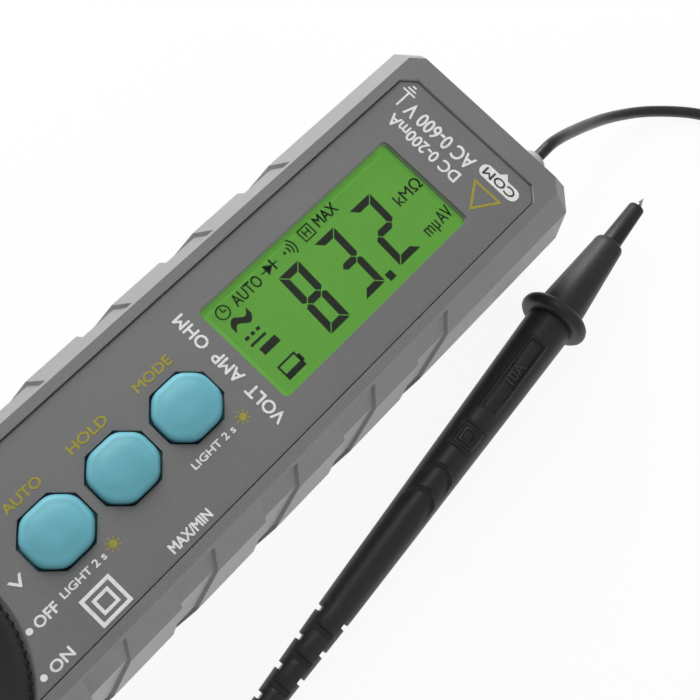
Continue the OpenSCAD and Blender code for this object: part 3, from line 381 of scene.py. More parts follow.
def addBlock(verts, faces, y, halfX, halfY, low, high):
    # upright block on the middle line at y, added to a piece's points and faces
    start = len(verts)
    verts += [at(sx * halfX, y + sy * halfY, z) for z in (low, high)
              for sx, sy in ((-1, -1), (1, -1), (1, 1), (-1, 1))]
    faces += [tuple(start + i for i in f) for f in
              ((3, 2, 1, 0), (4, 5, 6, 7), (0, 1, 5, 4), (1, 2, 6, 5), (2, 3, 7, 6), (3, 0, 4, 7))]


def addRod(verts, faces, y, radius, low, high, sides):
    # upright rod on the middle line at y, added to a piece's points and faces
    start = len(verts)
    for z in (low, high):
        for k in range(sides):
            a = math.tau * k / sides
            verts.append(at(radius * math.cos(a), y + radius * math.sin(a), z))
    faces += [(start + k, start + (k + 1) % sides, start + sides + (k + 1) % sides, start + sides + k)
              for k in range(sides)]
    faces += [tuple(start + sides - 1 - k for k in range(sides)), tuple(start + sides + k for k in range(sides))]


# the lead: one cord from the collar through its coil to the probe
lead = {
    "thickness": 2.0,
    "skin": 0.994,  # radius of the jacket
    "fromCase": [(-8, -7.5, 15), (-8, -9.5, 15), (-8, -12.1, 14.7), (-8.3, -15.4, 13.2), (-8.8, -19.6, 10.6),
                 (-9.5, -24.1, 7.9), (-10.5, -28.7, 5.4), (-12, -33.2, 3.4), (-14.2, -37.7, 2), (-17.3, -41.9, 1.3),
                 (-21, -45.6, 1.1), (-25.3, -48.5, 1.1), (-30.1, -50.6, 1.1), (-35.3, -51.6, 1.1),
                 (-40.5, -51.3, 1.1), (-45.9, -50.5, 1), (-50, -50.5, 1), (-53, -50.5, 1)],
    "toProbe": [(-70.5, -33, 3.5), (-70.5, -31, 3.5), (-70.6, -28.4, 3.4), (-71, -24.8, 3), (-71.8, -20, 2.3),
                (-73.3, -13.5, 1.5), (-75.6, -6, 1.2), (-78.2, 1.4, 1.1), (-81.1, 8.7, 1.1), (-83.8, 16.1, 1.1),
                (-85.8, 23.6, 1.1), (-86.6, 31.4, 1.1), (-85.6, 39.2, 1.1), (-82.2, 46.2, 1.1), (-76.6, 51.7, 1.1),
                (-70.6, 56.7, 1.1), (-64.9, 62.1, 1.1), (-60.2, 68.4, 1.1), (-56.9, 75.5, 1.1), (-55.3, 83.2, 1.1),
                (-54.2, 90.9, 1.1), (-51.7, 98.3, 1.1), (-46.1, 103.7, 1.1), (-39.9, 103.5, 1.2),
                (-37.2, 99.4, 1.4)],
    "coilMiddle": (-55, -35),
    "coilOuter": 15.5,
    "coilInner": 5.75,
    "coilLayer": 2.5,
    "coilTurns": 3.875,
    "coilSteps": 48,  # points in each turn
    "lineSteps": 8,  # points between two of the route's
    "length": 0.805,
}

probe = {
    "place": Vector((-27.7, 6.2, 5.8625)),
    "turn": math.radians(5.8),
    "tilt": math.radians(2.7615),
    "tail": 85.4,
}
probeFrame = Matrix.Rotation(probe["turn"], 4, "Z") @ Matrix.Rotation(-probe["tilt"], 4, "X")


def onProbeMm(x, s, z):
    # s runs along the probe from the middle of its guard to its tail
    return probe["place"] + probeFrame @ Vector((x, s, z))


def onProbe(x, s, z):
    return at(*onProbeMm(x, s, z))


def smoothLine(points, steps):
    line = []
    for i in range(len(points) - 1):
        a, b = points[max(i - 1, 0)], points[i]
        c, d = points[i + 1], points[min(i + 2, len(points) - 1)]
        for k in range(steps):
            t = k / steps
            line.append((b * 2 + (c - a) * t + (a * 2 - b * 5 + c * 4 - d) * t * t
                         + (b * 3 - a - c * 3 + d) * t ** 3) / 2)
    return line + [points[-1]]


def coilPoint(t):
    # t in turns: in along the floor, up half a turn, then out again on top of the lower turns
    turns, outer, inner = lead["coilTurns"], lead["coilOuter"], lead["coilInner"]
    pitch = (outer - inner) / turns
    if t < turns:
        r = outer - pitch * t
    elif t < turns + 0.5:
        r = inner - pitch * (0.25 - abs(t - turns - 0.25))
    else:
        r = inner + pitch * (t - turns - 0.5)
    k = max(0, min(1, (t - turns) * 2))
    angle = math.radians(-90 - 360 * t)
    return Vector((lead["coilMiddle"][0] + r * math.cos(angle), lead["coilMiddle"][1] + r * math.sin(angle),
                   lead["thickness"] / 2 + lead["coilLayer"] * k * k * (3 - 2 * k)))


def makeLead():
    total = lead["coilTurns"] * 2 + 0.5
    count = round(total * lead["coilSteps"])
    tail = [onProbeMm(0, probe["tail"] + beyond, 0) for beyond in (4, 2, 0)]  # straight into the strain relief
    line = smoothLine([Vector(p) for p in lead["fromCase"]], lead["lineSteps"])
    line += [coilPoint(total * i / count) for i in range(count + 1)]
    line += smoothLine([Vector(p) for p in lead["toProbe"]] + tail, lead["lineSteps"])
    curve = bpy.data.curves.new("leadCord", "CURVE")
    curve.dimensions = "3D"
    curve.bevel_depth = lead["skin"] / 1000
    curve.bevel_resolution = 5
    curve.use_fill_caps = True
    spline = curve.splines.new("POLY")
    spline.points.add(len(line) - 1)
    for point, p in zip(spline.points, line):
        point.co = (*at(*p), 1)
    spline.use_smooth = True
    curve.materials.append(finishes["lead_black"])
    obj = bpy.data.objects.new("leadCord", curve)
    scene.collection.objects.link(obj)
    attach(obj, "meter")
    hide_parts("lead_free_a", "lead_coil", "lead_free_b")
    print("lead length", round(sum((b - a).length for a, b in zip(line, line[1:])), 1), "mm")
    return obj


leadCord = makeLead()


# flat print: words stretched to the place that they fill on the face
def wordsMesh(words):
    # points as shares of the words' own width and height, and their faces
    curve = bpy.data.curves.new("words", "FONT")
    curve.body = words
    curve.resolution_u = 3
    obj = bpy.data.objects.new("words", curve)
    scene.collection.objects.link(obj)
    bpy.context.view_layer.update()
    mesh = bpy.data.meshes.new_from_object(obj.evaluated_get(bpy.context.evaluated_depsgraph_get()))
    verts = [v.co.copy() for v in mesh.vertices]
    faces = [tuple(f.vertices) for f in mesh.polygons]
    bpy.data.objects.remove(obj)
    bpy.data.curves.remove(curve)
    bpy.data.meshes.remove(mesh)
    lowX, highX = min(v.x for v in verts), max(v.x for v in verts)
    lowY, highY = min(v.y for v in verts), max(v.y for v in verts)
    return [((v.x - lowX) / (highX - lowX), (v.y - lowY) / (highY - lowY)) for v in verts], faces


class Print:
    # gathers flat shapes of one ink, in millimetres, and makes one piece of them
    copyLift = 0.004  # height between the copies that make letters bold, so that none lie in one plane

    def __init__(self, height):
        self.height = height
        self.verts = []
        self.faces = []

    def add(self, points, faces=None, lift=0.0):
        start = len(self.verts)
        self.verts += [(p[0], p[1], self.height + lift) for p in points]
        faces = faces or [tuple(range(len(points)))]
        self.faces += [tuple(start + i for i in f) for f in faces]

    def words(self, words, x0, x1, y0, y1, bold=0.06, side=False):
        # side: reads along -Y with the tops of the letters towards +X; bold: copies moved this far each way
        shares, faces = wordsMesh(words)
        points = []
        for u, w in shares:
            points.append((x0 + (x1 - x0) * w, y1 - (y1 - y0) * u) if side
                          else (x0 + (x1 - x0) * u, y0 + (y1 - y0) * w))
        for k, (dx, dy) in enumerate(((0, 0), (1, 0), (-1, 0), (0, 1), (0, -1))):
            self.add([(p[0] + bold * dx, p[1] + bold * dy) for p in points], faces, self.copyLift * k)

    def ring(self, x, y, r, stroke, sides=28, start=0, sweep=360):
        points = []
        for i in range(sides + 1):
            a = math.radians(start + sweep * i / sides)
            points += [(x + (r - stroke) * math.cos(a), y + (r - stroke) * math.sin(a)),
                       (x + r * math.cos(a), y + r * math.sin(a))]
        self.add(points, [(2 * i, 2 * i + 1, 2 * i + 3, 2 * i + 2) for i in range(sides)])

    def bar(self, a, b, stroke):
        a, b = Vector(a), Vector(b)
        n = Vector((a.y - b.y, b.x - a.x)).normalized() * stroke / 2
        self.add([a - n, b - n, b + n, a + n])

    def block(self, x0, x1, y0, y1):
        self.add([(x0, y0), (x1, y0), (x1, y1), (x0, y1)])

    def outline(self, points, stroke):
        n = len(points)
        rim = []
        for i, p in enumerate(points):
            p, u, v = Vector(p), Vector(p) - Vector(points[i - 1]), Vector(points[(i + 1) % n]) - Vector(p)
            u, v = Vector((-u.y, u.x)).normalized(), Vector((-v.y, v.x)).normalized()
            mitre = (u + v) / (1 + u.dot(v)) * stroke / 2
            rim += [p - mitre, p + mitre]
        self.add(rim, [(2 * i, 2 * i + 1, (2 * i + 3) % (2 * n), (2 * i + 2) % (2 * n)) for i in range(n)])

    def box(self, x0, x1, y0, y1, stroke):
        self.outline([(x0, y0), (x1, y0), (x1, y1), (x0, y1)], stroke)

    def piece(self, name, material, place=None):
        place = place or (lambda x, y: (x, y))
        verts = [at(*place(v[0], v[1]), v[2]) for v in self.verts]
        up = []
        for f in self.faces:
            area = sum(verts[f[i]].cross(verts[f[(i + 1) % len(f)]]).z for i in range(len(f)))
            up.append(f if area > 0 else tuple(reversed(f)))
        return addPiece(name, verts, up, material, "meter")


# places are x0, x1, y0, y1 in mm, and the last number of a side word is how bold it is
facePrint = {
    "height": 27.225,
    "words": [("DC 0-200mA", -3.1, 10.3, 10.1, 12.0), ("AC 0-600 V", -3.2, 9.6, 6.7, 9.1),
              ("VOLT  AMP  OHM", -10, 9.7, 54.0, 55.8)],
    "sideWords": [("LIGHT 2 s", -6.7, -5.7, 60.2, 67.6, 0.04), ("LIGHT 2 s", -6.7, -5.7, 83.0, 90.1, 0.04),
                  ("MAX/MIN", -12.4, -11.0, 70.2, 77.0, 0.06), ("OFF", -7.2, -5.8, 91.2, 94.6, 0.06),
                  ("ON", -12.4, -11.0, 93.6, 96.9, 0.06), ("V", -1.9, -0.5, 91.6, 93.6, 0.06)],
    "keyWords": [("MODE", 5.7, 7.1, 59.5, 65.7), ("HOLD", 5.7, 7.1, 70.9, 77.2), ("AUTO", 5.7, 7.1, 82.1, 88.0)],
    "doubleSquare": [(-12.4, -8.4, 84.6, 89.0, 0.5), (-11.4, -9.4, 85.7, 87.9, 0.45)],
    "dots": [(-6.5, 95.6), (-11.7, 98.1)],
    "dotRadius": 0.45,
    "earth": (11.0, 6.0, 8.9),  # x, y of the widest bar and end of the stem
    "earthHalves": (1.15, 0.75, 0.35),
    "earthStep": 0.62,
    "earthHalfStroke": (0.15, 0.14),  # of the stem and of the bars
    "triangle": [(-5.1, 9.3), (-9.9, 9.25), (-7.5, 13.1)],
    "triangleStroke": 0.4,
    "suns": [(-6.0, 58.3), (-6.0, 81.4)],
    "sunRadius": 0.55,
    "sunRays": (0.7, 1.05, 0.2),  # start, end and stroke
    "badge": (-11.4, -4.2, 5.8, 8.0),
    "badgeTab": (-8.6, -7.0, 4.9),  # x0, x1 and tip
    "badgeMargin": (0.75, 0.4),
}


def makeWhitePrint():
    white = Print(facePrint["height"])
    for words in facePrint["words"]:
        white.words(*words)
    x, y, stemEnd = facePrint["earth"]
    halfStem, halfBar = facePrint["earthHalfStroke"]
    for k, half in enumerate(facePrint["earthHalves"]):
        level = y - k * facePrint["earthStep"]
        white.block(x - half, x + half, level - halfBar, level + halfBar)
    white.block(x - halfStem, x + halfStem, y + halfBar, stemEnd)
    for words in facePrint["sideWords"]:
        white.words(*words, side=True)
    for square in facePrint["doubleSquare"]:
        white.box(*square)
    for x, y in facePrint["dots"]:
        white.ring(x, y, facePrint["dotRadius"], facePrint["dotRadius"], 14)
    white.piece("facePrintWhite", whiteInk)


def makeYellowPrint():
    yellow = Print(facePrint["height"])
    yellow.outline(facePrint["triangle"], facePrint["triangleStroke"])
    for words in facePrint["keyWords"]:
        yellow.words(*words, side=True)
    rayStart, rayEnd, rayStroke = facePrint["sunRays"]
    for x, y in facePrint["suns"]:
        yellow.ring(x, y, facePrint["sunRadius"], facePrint["sunRadius"], 16)
        for k in range(8):
            a = math.pi * k / 4
            yellow.bar((x + rayStart * math.cos(a), y + rayStart * math.sin(a)),
                       (x + rayEnd * math.cos(a), y + rayEnd * math.sin(a)), rayStroke)
    yellow.piece("facePrintYellow", yellowInk)


def makeBadge():
    x0, x1, y0, y1 = facePrint["badge"]
    badge = Print(facePrint["height"])
    r = (y1 - y0) / 2
    shape = []
    for middle, start in ((x1 - r, -90), (x0 + r, 90)):
        for k in range(13):
            a = math.radians(start + 15 * k)
            shape.append((middle + r * math.cos(a), y0 + r + r * math.sin(a)))
    badge.add(shape)
    tab0, tab1, tip = facePrint["badgeTab"]
    badge.add([(tab0, y0), ((tab0 + tab1) / 2, tip), (tab1, y0)])
    badge.piece("badgePlate", whiteInk)
    letters = Print(facePrint["height"] + 0.02)
    marginX, marginY = facePrint["badgeMargin"]
    letters.words("COM", x0 + marginX, x1 - marginX, y0 + marginY, y1 - marginY, bold=0.03)
    letters.piece("badgeWords", darkInk)


makeWhitePrint()
makeYellowPrint()
makeBadge()
print("face printed")

display = {
    "height": 24.95,
    "depthScale": 1.0098,  # the cell lies lower than the plane in which its signs were measured
    "stroke": 1.12,
    "gap": 0.1,
    "slant": 0.55,
    "digits": [("8", 36.8, 41.3), ("3", 29.5, 34.1), ("2", 21.9, 26.8)],
    "low": -6.3,
    "high": 4.3,
    "words": [("kMΩ", -0.2, 1.7, 15.1, 20.1, 0.03), ("mμ", -6.8, -4.9, 17.9, 20.4, 0.03),
              ("AV", -6.3, -4.3, 15.1, 17.5, 0.03), ("AUTO", 5.2, 7.0, 42.6, 47.7, 0.03),
              ("MAX", 5.6, 7.3, 27.0, 31.0, 0.05), ("H", 5.8, 7.0, 32.4, 33.4, 0.03),
              ("~", 2.6, 4.6, 47.0, 50.4, 0.05)],
    "holdBox": (5.4, 7.3, 31.9, 33.9, 0.22),
    "point": (-6.9, -5.6, 28.3, 29.5),
    "directSign": [(-0.1, 0.3, 47.6, 50.4), (1.0, 1.5, 49.6, 50.3), (1.0, 1.5, 48.6, 49.2), (1.0, 1.5, 47.6, 48.2)],
    "minus": (-2.1, -0.9, 46.9, 49.9),
    "battery": (-6.7, -4.5, 46.9, 49.9, 0.3),
    "batteryFill": [(-6.2, -5.0, 46.4, 46.9), (-6.6, -5.9, 47.0, 49.8)],
    "clock": (6.1, 49.7, 1.1, 0.22),
    "clockHands": [(6.85, 49.7), (6.1, 49.1)],
    "diode": [(5.4, 41.2), (7.2, 41.2), (6.3, 39.9)],
    "diodeBars": [((5.4, 39.8), (7.2, 39.8), 0.3), ((6.3, 42.0), (6.3, 39.0), 0.2)],
    "soundDot": (6.3, 37.4, 0.22, 0.22, 10),
    "soundWaves": (6.3, 37.2, (0.75, 1.3, 1.85), 0.24),
}


def onDisplay(x, y):
    footX, footY = camera["eye"][0], camera["eye"][1]
    return footX + (x - footX) * display["depthScale"], footY + (y - footY) * display["depthScale"]


def digitSegments(w, h):
    # the seven bars of a digit w wide and h high, with pointed or slanted ends
    t, g, m = display["stroke"], display["gap"], h / 2
    segments = {
        "a": [(g, h), (w - g, h), (w - t - g, h - t), (t + g, h - t)],
        "d": [(g, 0), (t + g, t), (w - t - g, t), (w - g, 0)],
        "f": [(0, h - g), (t, h - t - g), (t, m + t / 2 + g), (t / 2, m + g), (0, m + t / 3 + g)],
        "e": [(0, g), (t, t + g), (t, m - t / 2 - g), (t / 2, m - g), (0, m - t / 3 - g)],
        "g": [(t / 2 + g, m), (t + g, m + t / 2), (w - t - g, m + t / 2), (w - t / 2 - g, m),
              (w - t - g, m - t / 2), (t + g, m - t / 2)],
    }
    segments["b"] = [(w - p[0], p[1]) for p in segments["f"]]
    segments["c"] = [(w - p[0], p[1]) for p in segments["e"]]
    return segments


def makeDisplay():
    ink = Print(display["height"])
    lit = {"8": "abcdefg", "3": "abcdg", "2": "abged"}
    low, h, slant = display["low"], display["high"] - display["low"], display["slant"]
    for digit, y0, y1 in display["digits"]:
        segments = digitSegments(y1 - y0 - slant, h)
        for name in lit[digit]:
            ink.add([(low + v, y1 - u - slant * v / h) for u, v in segments[name]])
    ink.block(*display["point"])
    for words in display["words"]:
        ink.words(*words, side=True)
    ink.box(*display["holdBox"])
    ink.ring(*display["clock"])
    for end in display["clockHands"]:
        ink.bar(display["clock"][:2], end, 0.2)
    ink.add(display["diode"])
    for start, end, stroke in display["diodeBars"]:
        ink.bar(start, end, stroke)
    ink.ring(*display["soundDot"])
    x, y, radii, stroke = display["soundWaves"]
    for r in radii:
        ink.ring(x, y, r, stroke, 10, -135, 90)
    for block in display["directSign"]:
        ink.block(*block)
    ink.block(*display["minus"])
    ink.box(*display["battery"])
    for block in display["batteryFill"]:
        ink.block(*block)
    ink.piece("displaySigns", crystalInk, onDisplay)


makeDisplay()
print("display drawn")

button = {
    "width": 8.5,
    "length": 9.4,
    "cut": 2.4,
    "round": 1.1,
    "top": 28.9,
    "bottom": 24.6,
    "radius": 1.1,
    "dome": 0.4,
    "crownRings": 8,
    "flange": (4.9, 5.25, 24.6, 25.45),  # half sizes and levels of the flange under the face
    "stem": (2.0, 23.62, 24.65),  # radius and levels, down to the plunger
    "places": {"select": 62.6, "hold": 73.85, "range": 85.1},
}


def buttonRing(inset):
    # cut-corner outline with rounded cuts, drawn in by inset
    x, y, c = button["width"] / 2 - inset, button["length"] / 2 - inset, max(0.4, button["cut"] - inset * 0.586)
    corners = [(x - c, -y), (x, c - y), (x, y - c), (x - c, y), (c - x, y), (-x, y - c), (-x, c - y), (c - x, -y)]
    ring = []
    for i, p in enumerate(corners):
        a, b = Vector(corners[i - 1]), Vector(corners[(i + 1) % 8])
        p = Vector(p)
        cutA, cutB = [min(button["round"], (q - p).length * 0.46) for q in (a, b)]
        start, end = p + (a - p).normalized() * cutA, p + (b - p).normalized() * cutB
        for k in range(5):
            t = k / 4
            ring.append(start * (1 - t) ** 2 + p * 2 * t * (1 - t) + end * t * t)
    return ring


def buttonLevels():
    # inset and height of each ring: upright side, rounded shoulder, domed crown
    shoulder = button["top"] - button["dome"] - button["radius"]
    levels = [(0, button["bottom"]), (0, 26.6), (0, shoulder)]
    for k in range(1, 7):
        a = math.radians(15 * k)
        levels.append((button["radius"] * (1 - math.cos(a)), shoulder + button["radius"] * math.sin(a)))
    for k in range(1, button["crownRings"]):
        share = k / button["crownRings"]
        inset = button["radius"] + (button["width"] / 2 - button["radius"]) * share
        levels.append((inset, button["top"] - button["dome"] * (1 - share) ** 3))
    return levels


def makeButton(key, y):
    levels = buttonLevels()
    verts = [at(p.x, y + p.y, z) for inset, z in levels for p in buttonRing(inset)]
    n = len(buttonRing(0))
    last = (len(levels) - 1) * n
    faces = ringFaces(len(levels), n)
    verts.append(at(0, y, button["top"]))
    faces += [(last + k, last + (k + 1) % n, last + n) for k in range(n)]
    faces.append(tuple(reversed(range(n))))
    halfX, halfY, low, high = button["flange"]
    addBlock(verts, faces, y, halfX, halfY, low, high)
    addRod(verts, faces, y, *button["stem"], 24)
    obj = addPiece(key + "Cap", verts, faces, finishes["button_teal"], key + "_key", 40)
    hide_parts(key + "_button")


for key, y in button["places"].items():
    makeButton(key, y)
print("buttons made")

dial = {
    "y": 114.0,
    "radius": 18.4,
    "ribs": 90,
    "ribDepth": 0.35,
    "profile": [(3.0, 26.3), (17.6, 26.3), (18.4, 26.65), (18.4, 27.35), (17.95, 27.8), (17.4, 27.9), (16.8, 27.86),
                (16.2, 27.6), (14.5, 27.5), (6.0, 27.5), (0.0, 27.5)],  # radius and height, rim outwards and over
    "barHalf": 3.0,
    "barReach": 17.2,
    "barLevels": [(0, 27.4), (0, 28.7), (0.15, 28.98), (0.45, 29.13), (0.9, 29.18)],  # inset and height
    "shaft": (3.0, 24.3, 26.4),  # radius and levels
    "drive": (1.8, 1.8, 22.6, 24.35),  # half sizes and levels of the square drive
    "pointer": [(-0.45, -16.2), (0.45, -16.2), (0.45, -8.5), (-0.45, -8.5)],
    "pointerHeight": 29.195,
}


def dialPiece(name, verts, faces, material=None, smooth=40):
    return addPiece(name, verts, faces, material or finishes["black_plastic"], "selector", smooth)


def makeDialDisc():
    # knurled rim, bevelled top with a shallow dish on both sides of the finger bar
    verts = []
    columns = dial["ribs"] * 4
    for r, z in dial["profile"]:
        for k in range(columns):
            deep = dial["ribDepth"] if r == dial["radius"] and k % 4 in (2, 3) else 0
            a = math.tau * k / columns
            verts.append(at((r - deep) * math.cos(a), dial["y"] + (r - deep) * math.sin(a), z))
    disc = dialPiece("dialDisc", verts, ringFaces(len(dial["profile"]), columns), smooth=35)
    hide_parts("selector_dial")


def makeDialBar():
    # finger bar with round ends and soft shoulders
    half, reach = dial["barHalf"], dial["barReach"]
    outline = set()
    for sx in (1, -1):
        for k in range(13):
            a = math.radians(-90 + 15 * k)
            x, y = half * math.sin(a) * -sx, sx * (reach - half + half * math.cos(a))
            outline.add((round(x, 4), round(y, 4)))
    outline = sorted(outline, key=lambda p: math.atan2(p[1] / reach, p[0] / half))
    n = len(outline)
    verts = []
    for inset, z in dial["barLevels"]:
        shareX, shareY = (half - inset) / half, (reach - inset) / reach
        verts += [at(x * shareX, dial["y"] + y * shareY, z) for x, y in outline]
    faces = ringFaces(len(dial["barLevels"]), n)
    faces += [tuple(range(len(verts) - n, len(verts))), tuple(reversed(range(n)))]
    dialPiece("dialBar", verts, faces)


def makeDialShaft():
    # shaft and square drive below the pocket
    verts, faces = [], []
    addRod(verts, faces, dial["y"], *dial["shaft"], 32)
    addBlock(verts, faces, dial["y"], *dial["drive"])
    dialPiece("dialShaft", verts, faces)


makeDialDisc()
makeDialBar()
makeDialShaft()
dialPiece("dialPointer", [at(x, dial["y"] + y, dial["pointerHeight"]) for x, y in dial["pointer"]], [(0, 1, 2, 3)],
          whiteInk, 0)
print("dial made")

# the probe's turned pieces: s along the axis from the middle of the guard, r from the axis
barrel = {
    "start": 1.2,
    "startRadius": 3.95,
    "end": 57.4,
    "endRadius": 2.75,
    "fineEnd": 41.4,  # the relief ends before this
    "fineStep": 0.15,
    "coarseStep": 0.8,
    "reliefAngle": 1.2,
    "highest": 0.4,
    "recess": (6.3, 20.0, 1.3),  # start, end and half width
    "recessDepth": 0.4,
    "recessRim": (0.14, 0.2),  # height and half width
    "squares": (23.0, 28.0),
    "squareHalfWidth": 2.3,
    "squareInsets": (0.3, 1.45),
    "squareRim": (0.34, 0.26),
    "arcs": (31.6, 36.1),
    "arcBow": (1.5, 2.4),
    "arcHalfWidth": 2.7,
    "arcRim": (0.4, 0.28),
    "arcScoop": (3.4, 0.2),  # length and depth of the hollow behind an arc
}
figures = {"words": "10A", "half": 0.85, "start": 11.0, "end": 14.6, "levels": (3.6, 3.3)}
probeFlange = [(-1.2, 3.4), (-1.2, 4.9), (-1.1, 5.3), (-0.75, 5.65), (-0.3, 5.82), (0.15, 5.85), (0.6, 5.72),
               (0.95, 5.4), (1.15, 5.0), (1.2, 4.7), (1.2, 3.4)]
probeNose = [(-16.8, 0.66), (-16.8, 2.2), (-16.65, 2.45), (-16.3, 2.58), (-15.5, 2.63), (-3.6, 3.66), (-3.2, 3.7),
             (-1.5, 3.75), (-1.2, 4.3), (-1.2, 0.66)]


def barrelRadius(s):
    k = (s - barrel["start"]) / (barrel["end"] - barrel["start"])
    return barrel["startRadius"] + (barrel["endRadius"] - barrel["startRadius"]) * k


def edgeStep(value, soft=0.08):
    # 0 outside, 1 inside, for a signed distance in mm
    return max(0.0, min(1.0, 0.5 + value / (2 * soft)))


def barrelRelief(s, a):
    # height in mm added to the barrel at s and at the angle a from its upper line
    if abs(a) > barrel["reliefAngle"]:
        return 0.0
    x = barrelRadius(s) * a
    s0, s1, half = barrel["recess"]
    inside = min(s - s0, s1 - s, half - abs(x))
    rimHeight, rimHalf = barrel["recessRim"]
    height = -barrel["recessDepth"] * edgeStep(inside - 0.12)
    height += rimHeight * edgeStep(rimHalf - abs(inside + 0.14))
    q0, q1 = barrel["squares"]
    middle, reach = (q0 + q1) / 2, (q1 - q0) / 2
    far = max(abs(s - middle), abs(x) * reach / barrel["squareHalfWidth"])
    rimHeight, rimHalf = barrel["squareRim"]
    for inset in barrel["squareInsets"]:
        height += rimHeight * edgeStep(rimHalf - abs(far - (reach - inset)))
    bow, bowHalf = barrel["arcBow"]
    rimHeight, rimHalf = barrel["arcRim"]
    scoop, scoopDepth = barrel["arcScoop"]
    for place in barrel["arcs"]:
        line = place + bow * (x / bowHalf) ** 2
        fade = edgeStep(barrel["arcHalfWidth"] - abs(x), 0.4)
        height += fade * rimHeight * edgeStep(rimHalf - abs(s - line), 0.1)
        if line < s < line + scoop:
            height -= fade * scoopDepth * (1 - (s - line) / scoop)
    return min(height, barrel["highest"])


def turnedPiece(name, profile, columns, smooth, relief=None):
    # profile of (s, r) turned round the probe's axis and closed at both ends
    verts = []
    for s, r in profile:
        for k in range(columns):
            a = math.tau * k / columns
            a = a if a <= math.pi else a - math.tau
            reach = r + (relief(s, a) if relief else 0)
            verts.append(onProbe(reach * math.sin(a), s, reach * math.cos(a)))
    faces = ringFaces(len(profile), columns)
    faces.append(tuple(reversed(range(columns))))
    faces.append(tuple(range(len(verts) - columns, len(verts))))
    return addPiece(name, verts, faces, finishes["probe_black"], "meter", smooth)


def barrelStations():
    fine = round((barrel["fineEnd"] - barrel["start"]) / barrel["fineStep"])
    coarse = round((barrel["end"] - barrel["fineEnd"]) / barrel["coarseStep"])
    return ([barrel["start"] + barrel["fineStep"] * i for i in range(fine)]
            + [barrel["fineEnd"] + barrel["coarseStep"] * i for i in range(coarse + 1)])


def makeFigures():
    shares, faces = wordsMesh(figures["words"])
    half, long = figures["half"], figures["end"] - figures["start"]
    verts = [onProbe(-half + 2 * half * w, figures["end"] - long * u, z) for z in figures["levels"] for u, w in shares]
    addPiece("probeFigures", verts, faces, paintedHighlightBlack, "meter")


def makeProbe():
    grip = turnedPiece("probeGrip", [(s, barrelRadius(s)) for s in barrelStations()], 180, 45, barrelRelief)
    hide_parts("probe_barrel")
    makeFigures()
    guard = turnedPiece("probeFlange", probeFlange, 96, 50)
    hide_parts("probe_guard")
    nose = turnedPiece("probeNose", probeNose, 96, 40)
    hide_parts("probe_cone")
    return [grip, guard, nose]


probePieces = makeProbe()
print("probe made")

# small moulding radii in mm on the CAD nodes that stay
softening = {
    "weld": 0.000002,  # metres
    "flatAngle": 0.6,
    "sharpAngle": 30,
    "segments": 2,
    "radii": {"front_shell": 0.3, "back_shell": 0.18, "battery_door": 0.15, "face_panel": 0.05, "nose_cone": 0.25,
              "finger_guard": 0.3, "nose_sleeve": 0.12, "lead_collar": 0.2, "probe_relief": 0.15,
              "probe_sleeve": 0.15},
}


def softEdges(obj, radius):
    weld = obj.modifiers.new("weld", "WELD")
    weld.merge_threshold = softening["weld"]
    flat = obj.modifiers.new("flat", "DECIMATE")
    flat.decimate_type = "DISSOLVE"
    flat.angle_limit = math.radians(softening["flatAngle"])
    bevel = obj.modifiers.new("softEdges", "BEVEL")
    bevel.width = radius / 1000
    bevel.segments = softening["segments"]
    bevel.limit_method = "ANGLE"
    bevel.angle_limit = math.radians(softening["sharpAngle"])
    bevel.use_clamp_overlap = True
    bevel.harden_normals = True


for name, radius in softening["radii"].items():
    softEdges(nodes[name], radius)
print("edges softened")

studio = {
    "worldStrength": 0.29,
    "noGloss": "fillBox",  # lights the shaded side without a highlight of its own
    "boxes": {  # place in metres, power in watts and size of each soft box
        "keyBox": ((0.52, -0.2, 0.27), 3.8, 0.5),
        "topBox": ((0.37, -0.12, 0.48), 1.25, 0.35),
        "fillBox": ((-0.56, 0.0, 0.27), 1.25, 0.5),
    },
    "floorHalf": 3,
    "floorDrop": 0.00002,  # keeps the floor clear of the flat back face
    "floorColour": 0.9,
    "floorGlow": 0.92,
}


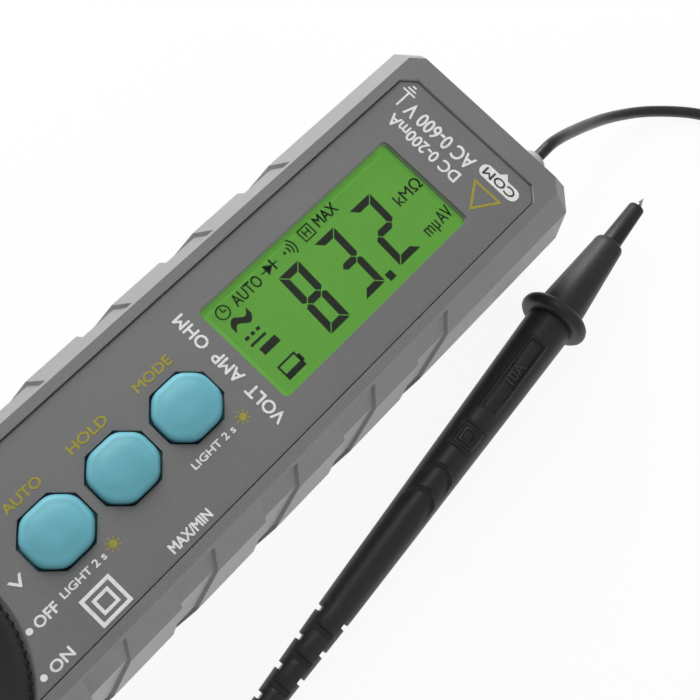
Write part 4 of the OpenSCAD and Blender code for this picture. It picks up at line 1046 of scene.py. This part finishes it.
def floorWhite():
    # pale to the camera and in reflections, plain diffuse to the light, so the shadow stays
    mat = bpy.data.materials.new("floorWhite")
    mat.use_nodes = True
    tree = mat.node_tree
    tree.nodes.clear()
    out = tree.nodes.new("ShaderNodeOutputMaterial")
    diffuse = tree.nodes.new("ShaderNodeBsdfDiffuse")
    diffuse.inputs["Color"].default_value = (studio["floorColour"],) * 3 + (1,)
    glow = tree.nodes.new("ShaderNodeEmission")
    path = tree.nodes.new("ShaderNodeLightPath")
    seen = path.outputs["Is Camera Ray"]
    for ray in ("Is Glossy Ray", "Is Transmission Ray"):
        either = tree.nodes.new("ShaderNodeMath")
        either.operation = "MAXIMUM"
        tree.links.new(seen, either.inputs[0])
        tree.links.new(path.outputs[ray], either.inputs[1])
        seen = either.outputs[0]
    share = tree.nodes.new("ShaderNodeMath")
    share.operation = "MULTIPLY"
    share.inputs[1].default_value = studio["floorGlow"]
    tree.links.new(seen, share.inputs[0])
    mix = tree.nodes.new("ShaderNodeMixShader")
    tree.links.new(share.outputs[0], mix.inputs["Fac"])
    tree.links.new(diffuse.outputs[0], mix.inputs[1])
    tree.links.new(glow.outputs[0], mix.inputs[2])
    tree.links.new(mix.outputs[0], out.inputs["Surface"])
    return mat


def makeFloor():
    half = studio["floorHalf"]
    mesh = bpy.data.meshes.new("floor")
    mesh.from_pydata([(-half, -half, 0), (half, -half, 0), (half, half, 0), (-half, half, 0)], [], [(0, 1, 2, 3)])
    mesh.materials.append(floorWhite())
    floor = bpy.data.objects.new("floor", mesh)
    floor.location.z = -studio["floorDrop"]
    scene.collection.objects.link(floor)


def makeWorld():
    # dim light on the object, white behind it
    world = bpy.data.worlds.new("studio")
    scene.world = world
    world.use_nodes = True
    tree = world.node_tree
    tree.nodes.clear()
    out = tree.nodes.new("ShaderNodeOutputWorld")
    light, white = [tree.nodes.new("ShaderNodeBackground") for _ in range(2)]
    light.inputs["Color"].default_value = (1, 1, 1, 1)
    light.inputs["Strength"].default_value = studio["worldStrength"]
    white.inputs["Color"].default_value = (1, 1, 1, 1)
    path = tree.nodes.new("ShaderNodeLightPath")
    mix = tree.nodes.new("ShaderNodeMixShader")
    tree.links.new(path.outputs["Is Camera Ray"], mix.inputs["Fac"])
    tree.links.new(light.outputs[0], mix.inputs[1])
    tree.links.new(white.outputs[0], mix.inputs[2])
    tree.links.new(mix.outputs[0], out.inputs["Surface"])


def makeLamps():
    for name, (place, power, size) in studio["boxes"].items():
        lamp = bpy.data.lights.new(name, "AREA")
        lamp.energy = power
        lamp.size = size
        obj = bpy.data.objects.new(name, lamp)
        obj.location = place
        obj.visible_glossy = name != studio["noGloss"]
        obj.rotation_euler = (-Vector(place)).to_track_quat("-Z", "Y").to_euler()
        scene.collection.objects.link(obj)


makeFloor()
makeWorld()
makeLamps()
scene.view_settings.view_transform = "Standard"
print("stage lit")
